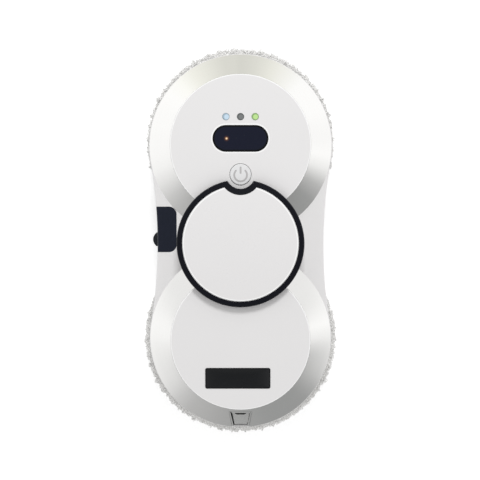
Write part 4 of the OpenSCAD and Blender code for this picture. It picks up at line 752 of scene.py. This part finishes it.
# Plate: rings of a rounded rectangle, each with its own inset and height, closed by a pole below and above.
# The outline at turn t is the nearest corner's centre plus the corner's radius along t.
def roundedPlate(name, centre, half, corner, rings, cornerSteps=8):
    t = np.concatenate([np.linspace(90 * k, 90 * k + 90, cornerSteps) for k in range(4)])
    quarter = np.repeat(np.arange(4), cornerSteps)
    sideX, sideY = np.where((quarter == 0) | (quarter == 3), 1, -1), np.where(quarter < 2, 1, -1)
    inset, height = np.array(rings).T[..., None]
    radius = corner - inset
    x = sideX * (half[0] - inset - radius) + radius * np.cos(np.radians(t))
    y = sideY * (half[1] - inset - radius) + radius * np.sin(np.radians(t))
    grid = np.stack([x, y, height + 0 * x], -1).reshape(-1, 3)
    poles = np.array([[0, 0, height[0, 0]], [0, 0, height[-1, 0]]])
    n, m = len(rings), len(t)
    j, k = np.arange(m), (np.arange(m) + 1) % m
    low = np.stack([np.full(m, n * m), k, j], 1)
    high = np.stack([np.full(m, n * m + 1), (n - 1) * m + j, (n - 1) * m + k], 1)
    return putMesh(name, np.concatenate([grid, poles]) + centre, gridQuads(n, m), np.concatenate([low, high]))


# Bare plate on the rear lobe: thin black sheet with a raised border
plateShape = {
    "centre": (-1.95, -98.07, 59.0), "half": (23.65, 7.55), "corner": 1.4, "thick": 0.25, "border": 0.9,
    "bevel": 0.06, "sunk": 0.05, "fade": 0.1}
plateFinish = {
    **plainFinish, "colour": (0.006, 0.0065, 0.008), "roughness": 0.28, "grainSize": 1400.0, "bump": 0.1,
    "marks": 0.5, "dustColour": (0.1, 0.1, 0.1), "field": (0.0085, 0.0095, 0.011)}


def barePlate(shape, finish):
    thick, border, bevel = shape["thick"], shape["border"], shape["bevel"]
    plate = roundedPlate("barePlate", shape["centre"], shape["half"], shape["corner"], [
        (0, 0), (0, thick - bevel), (bevel, thick), (border, thick), (border + bevel, thick - shape["sunk"])])
    material, tree, shader, place, colour = plasticMaterial("plateBlack", finish)
    axes = axesOf(tree, place)
    inside = []
    for axis, centre, half in zip("XY", shape["centre"], shape["half"]):
        away = mathNode(tree, "ABSOLUTE", mathNode(tree, "SUBTRACT", axes[axis], centre * mm))
        low, high = (half - border - shape["fade"]) * mm, (half - border + shape["fade"]) * mm
        inside.append(rangeNode(tree, away, low, high, 1.0, 0.0))
    field = mathNode(tree, "MULTIPLY", *inside)
    tree.links.new(mixColour(tree, field, colour, finish["field"]), shader.inputs["Base Color"])
    plate.data.materials.append(material)
    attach(plate, "chassis")


barePlate(plateShape, plateFinish)

# Power sign printed on the button: a ring open at the top with a bar through the gap
signShape = {
    "centre": (0.07, 49.1), "ring": 4.57, "stroke": 1.3, "open": 38.0, "bar": (49.87, 55.17), "steps": (64, 24),
    "top": 59.4, "thick": 0.03, "sunk": 0.02, "barLift": 0.005}
signFinish = {**plainFinish, "colour": (0.50, 0.49, 0.49), "roughness": 0.4, "marks": 0.2, "bump": 0.1}


# Stroke: a flat ribbon along a path, its half width drawn in to a point over half a circle at each end
def flatStroke(path, stroke, low, high):
    step = np.gradient(path, axis=0)
    length = np.concatenate([[0], np.cumsum(np.linalg.norm(np.diff(path, axis=0), axis=1))])
    half = stroke / 2
    end = np.clip(np.minimum(length, length[-1] - length) / half, 0, 1)
    side = unit(np.stack([-step[:, 1], step[:, 0]], 1)) * (half * np.sqrt(1 - (1 - end) ** 2))[:, None]
    corners = [(side, high), (-side, high), (-side, low), (side, low)]
    points = np.stack([np.concatenate([path + s, np.full((len(path), 1), z)], 1) for s, z in corners], 1)
    return points.reshape(-1, 3), gridQuads(len(path), 4)[:, ::-1]


def powerSign(shape, finish):
    ringSteps, barSteps = shape["steps"]
    reach = np.radians(np.linspace(90 + shape["open"], 450 - shape["open"], ringSteps))
    ring = np.array(shape["centre"]) + shape["ring"] * np.stack([np.cos(reach), np.sin(reach)], 1)
    bar = np.stack([np.full(barSteps, shape["centre"][0]), np.linspace(*shape["bar"], barSteps)], 1)
    low, high = shape["top"] - shape["sunk"], shape["top"] + shape["thick"]
    ringPoints, ringQuads = flatStroke(ring, shape["stroke"], low, high)
    barPoints, barQuads = flatStroke(bar, shape["stroke"], low, high + shape["barLift"])
    quads = np.concatenate([ringQuads, barQuads + len(ringPoints)])
    sign = putMesh("powerSign", np.concatenate([ringPoints, barPoints]), quads)
    sign.data.polygons.foreach_set("use_smooth", np.zeros(len(sign.data.polygons), bool))
    sign.data.materials.append(plasticMaterial("signInk", finish)[0])
    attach(sign, "button")


powerSign(signShape, signFinish)
print("plate and sign made")

# Floor: a disc of triangles round its middle, pale, and lifted to white for the camera so that it keeps the shadow
floorSettings = {"radius": 6.0, "sides": 64, "colour": (0.80, 0.80, 0.80), "roughness": 0.9, "lift": 0.48}


def makeFloor(settings):
    sides = settings["sides"]
    rim = turned(np.array([[settings["radius"] / mm, 0.0]]), sides)
    j = np.arange(sides)
    fan = np.stack([np.full(sides, sides), j, (j + 1) % sides], 1)
    floor = putMesh("paleFloor", np.concatenate([rim, [[0, 0, 0]]]), np.zeros((0, 4), int), fan)
    material, tree, shader, place = startMaterial("paleFloor")
    shader.inputs["Base Color"].default_value = (*settings["colour"], 1.0)
    shader.inputs["Roughness"].default_value = settings["roughness"]
    shader.inputs["Specular IOR Level"].default_value = 0.0
    path = tree.nodes.new("ShaderNodeLightPath")
    shader.inputs["Emission Color"].default_value = (1, 1, 1, 1)
    seen = mathNode(tree, "MAXIMUM", path.outputs["Is Camera Ray"], path.outputs["Is Transmission Ray"])
    tree.links.new(mathNode(tree, "MULTIPLY", seen, settings["lift"]), shader.inputs["Emission Strength"])
    floor.data.materials.append(material)


makeFloor(floorSettings)

# World: even white fill, with full white where the camera, metal or glass looks at it
worldSettings = {"fill": 0.70}


def makeWorld(settings):
    world = bpy.data.worlds.new("studioWorld")
    bpy.context.scene.world = world
    world.use_nodes = True
    tree = world.node_tree
    tree.nodes.clear()
    path = tree.nodes.new("ShaderNodeLightPath")
    seen = mathNode(tree, "MAXIMUM", path.outputs["Is Camera Ray"], path.outputs["Is Glossy Ray"])
    seen = mathNode(tree, "MAXIMUM", seen, path.outputs["Is Transmission Ray"])
    strength = mathNode(tree, "MULTIPLY_ADD", seen, 1.0 - settings["fill"], settings["fill"])
    background = tree.nodes.new("ShaderNodeBackground")
    background.inputs["Color"].default_value = (1, 1, 1, 1)
    output = tree.nodes.new("ShaderNodeOutputWorld")
    tree.links.new(strength, background.inputs["Strength"])
    tree.links.new(background.outputs["Background"], output.inputs["Surface"])


makeWorld(worldSettings)

# Reflected tent: walls round the robot that only its gloss sees, pale and dark by bearing, and dim overhead.
# Its surface is a profile in (radius, height), in metres, turned about the upright axis. Stops give the tone by
# bearing. The dark wall behind the nozzle has its middle at "middle": its bearings are squeezed by the two values of
# "squeeze" between the heights of "rise", so it widens with height, and further round, between the shares of a turn
# of "blend", they aren't squeezed. The walls dim to the third value of "skirt" between the two heights before it,
# and to "overhead" between those of "edge". The warm and the cool tint are each a middle bearing and a half width.
tentSettings = {
    "profile": [
        (0.3, 0.002), (1.9, 0.003), (2.0, 0.03), (2.0, 1.4), (1.95, 2.3), (1.6, 3.3), (0.9, 3.8), (0.1, 4.0)],
    "sides": 96, "overhead": 0.16, "edge": (1.9, 2.8), "middle": 273.5, "rise": (0.05, 0.29),
    "squeeze": (1.3, 0.86), "blend": (0.20, 0.34), "skirt": (0.40, 0.46, 0.80), "tints": [(95, 25), (295, 20)],
    "tintFade": 20, "lessRed": 0.015, "lessBlue": (0.995, 0.07),
    "stops": [
        (0, 1.03), (10, 1.02), (20, 1.04), (30, 1.06), (50, 1.055), (60, 0.965), (70, 0.87), (80, 0.765),
        (90, 0.71), (100, 0.745), (110, 0.84), (120, 0.93), (130, 1.055), (140, 1.07), (150, 1.05), (160, 1.05),
        (170, 1.03), (180, 1.03), (190, 1.02), (200, 0.98), (210, 0.84), (220, 0.62), (230, 0.49), (250, 0.42),
        (270, 0.36), (290, 0.33), (310, 0.33), (320, 0.345), (330, 0.50), (340, 0.92), (350, 1.07)]}


# Stops of the tent as (share of a turn, colour), the share counted from opposite the middle of the dark wall
def tentStops(settings):
    stops = []
    for bearing, value in settings["stops"]:
        warm, cool = [
            np.interp(abs((bearing - centre + 180) % 360 - 180), [half, half + settings["tintFade"]], [1, 0])
            for centre, half in settings["tints"]]
        white, yellow = settings["lessBlue"]
        colour = (value * (1 - settings["lessRed"] * cool), value, value * (white - yellow * warm), 1)
        stops.append((((bearing - settings["middle"] + 180) % 360) / 360, colour))
    return sorted(stops)


def makeTent(settings):
    profile = np.array(settings["profile"]) / mm
    quads = gridQuads(len(profile), settings["sides"])[:, ::-1]
    tent = putMesh("reflectedTent", turned(profile, settings["sides"]), quads)
    material = bpy.data.materials.new("reflectedTent")
    material.use_nodes = True
    tree = material.node_tree
    tree.nodes.clear()
    place = tree.nodes.new("ShaderNodeTexCoord").outputs["Object"]
    height = axesOf(tree, place)["Z"]
    # bearing from the middle of the dark wall, in turns from -0.5 to 0.5, squeezed by height, then from 0 to 1
    faced = axesOf(tree, mapped(tree, place, rotation=(0, 0, np.radians(-settings["middle"]))))
    bearing = mathNode(tree, "MULTIPLY", mathNode(tree, "ARCTAN2", faced["Y"], faced["X"]), 0.5 / np.pi)
    squeeze = rangeNode(tree, height, *settings["rise"], *settings["squeeze"])
    near = rangeNode(tree, mathNode(tree, "ABSOLUTE", bearing), *settings["blend"], squeeze, 1.0)
    ramp = tree.nodes.new("ShaderNodeValToRGB")
    tree.links.new(mathNode(tree, "MULTIPLY_ADD", bearing, near, 0.5), ramp.inputs["Fac"])
    elements = ramp.color_ramp.elements
    (firstShare, firstColour), *otherStops = tentStops(settings)
    elements[0].position, elements[0].color = firstShare, firstColour
    elements[-1].position, elements[-1].color = 1.0, firstColour  # the ramp meets itself opposite the dark wall
    for share, colour in otherStops:
        elements.new(share).color = colour
    low, high, dimmed = settings["skirt"]
    walls = scaled(tree, ramp.outputs["Color"], rangeNode(tree, height, low, high, 1.0, dimmed))
    overhead = rangeNode(tree, height, *settings["edge"])
    emission = tree.nodes.new("ShaderNodeEmission")
    tree.links.new(mixColour(tree, overhead, walls, (settings["overhead"],) * 3), emission.inputs["Color"])
    output = tree.nodes.new("ShaderNodeOutputMaterial")
    tree.links.new(emission.outputs["Emission"], output.inputs["Surface"])
    material.cycles.emission_sampling = "NONE"
    tent.data.materials.append(material)
    for ray in ("camera", "diffuse", "transmission", "volume_scatter", "shadow"):
        setattr(tent, "visible_" + ray, False)


makeTent(tentSettings)

# Key light: one soft box, high and beyond the front lobe, aimed at the middle of the robot
keySettings = {"bearing": 86.0, "fromZenith": 42.0, "distance": 1.6, "size": 0.35, "power": 10.6}


def makeKey(settings):
    data = bpy.data.lights.new("softBox", "AREA")
    data.size, data.energy = settings["size"], settings["power"]
    light = bpy.data.objects.new("softBox", data)
    bearing, zenith = np.radians([settings["bearing"], settings["fromZenith"]])
    light.location = settings["distance"] * np.array([
        np.sin(zenith) * np.cos(bearing), np.sin(zenith) * np.sin(bearing), np.cos(zenith)])
    light.rotation_euler = (light.location.normalized()).to_track_quat("Z", "Y").to_euler()
    light.visible_glossy = False
    bpy.context.scene.collection.objects.link(light)


makeKey(keySettings)
print("studio made")
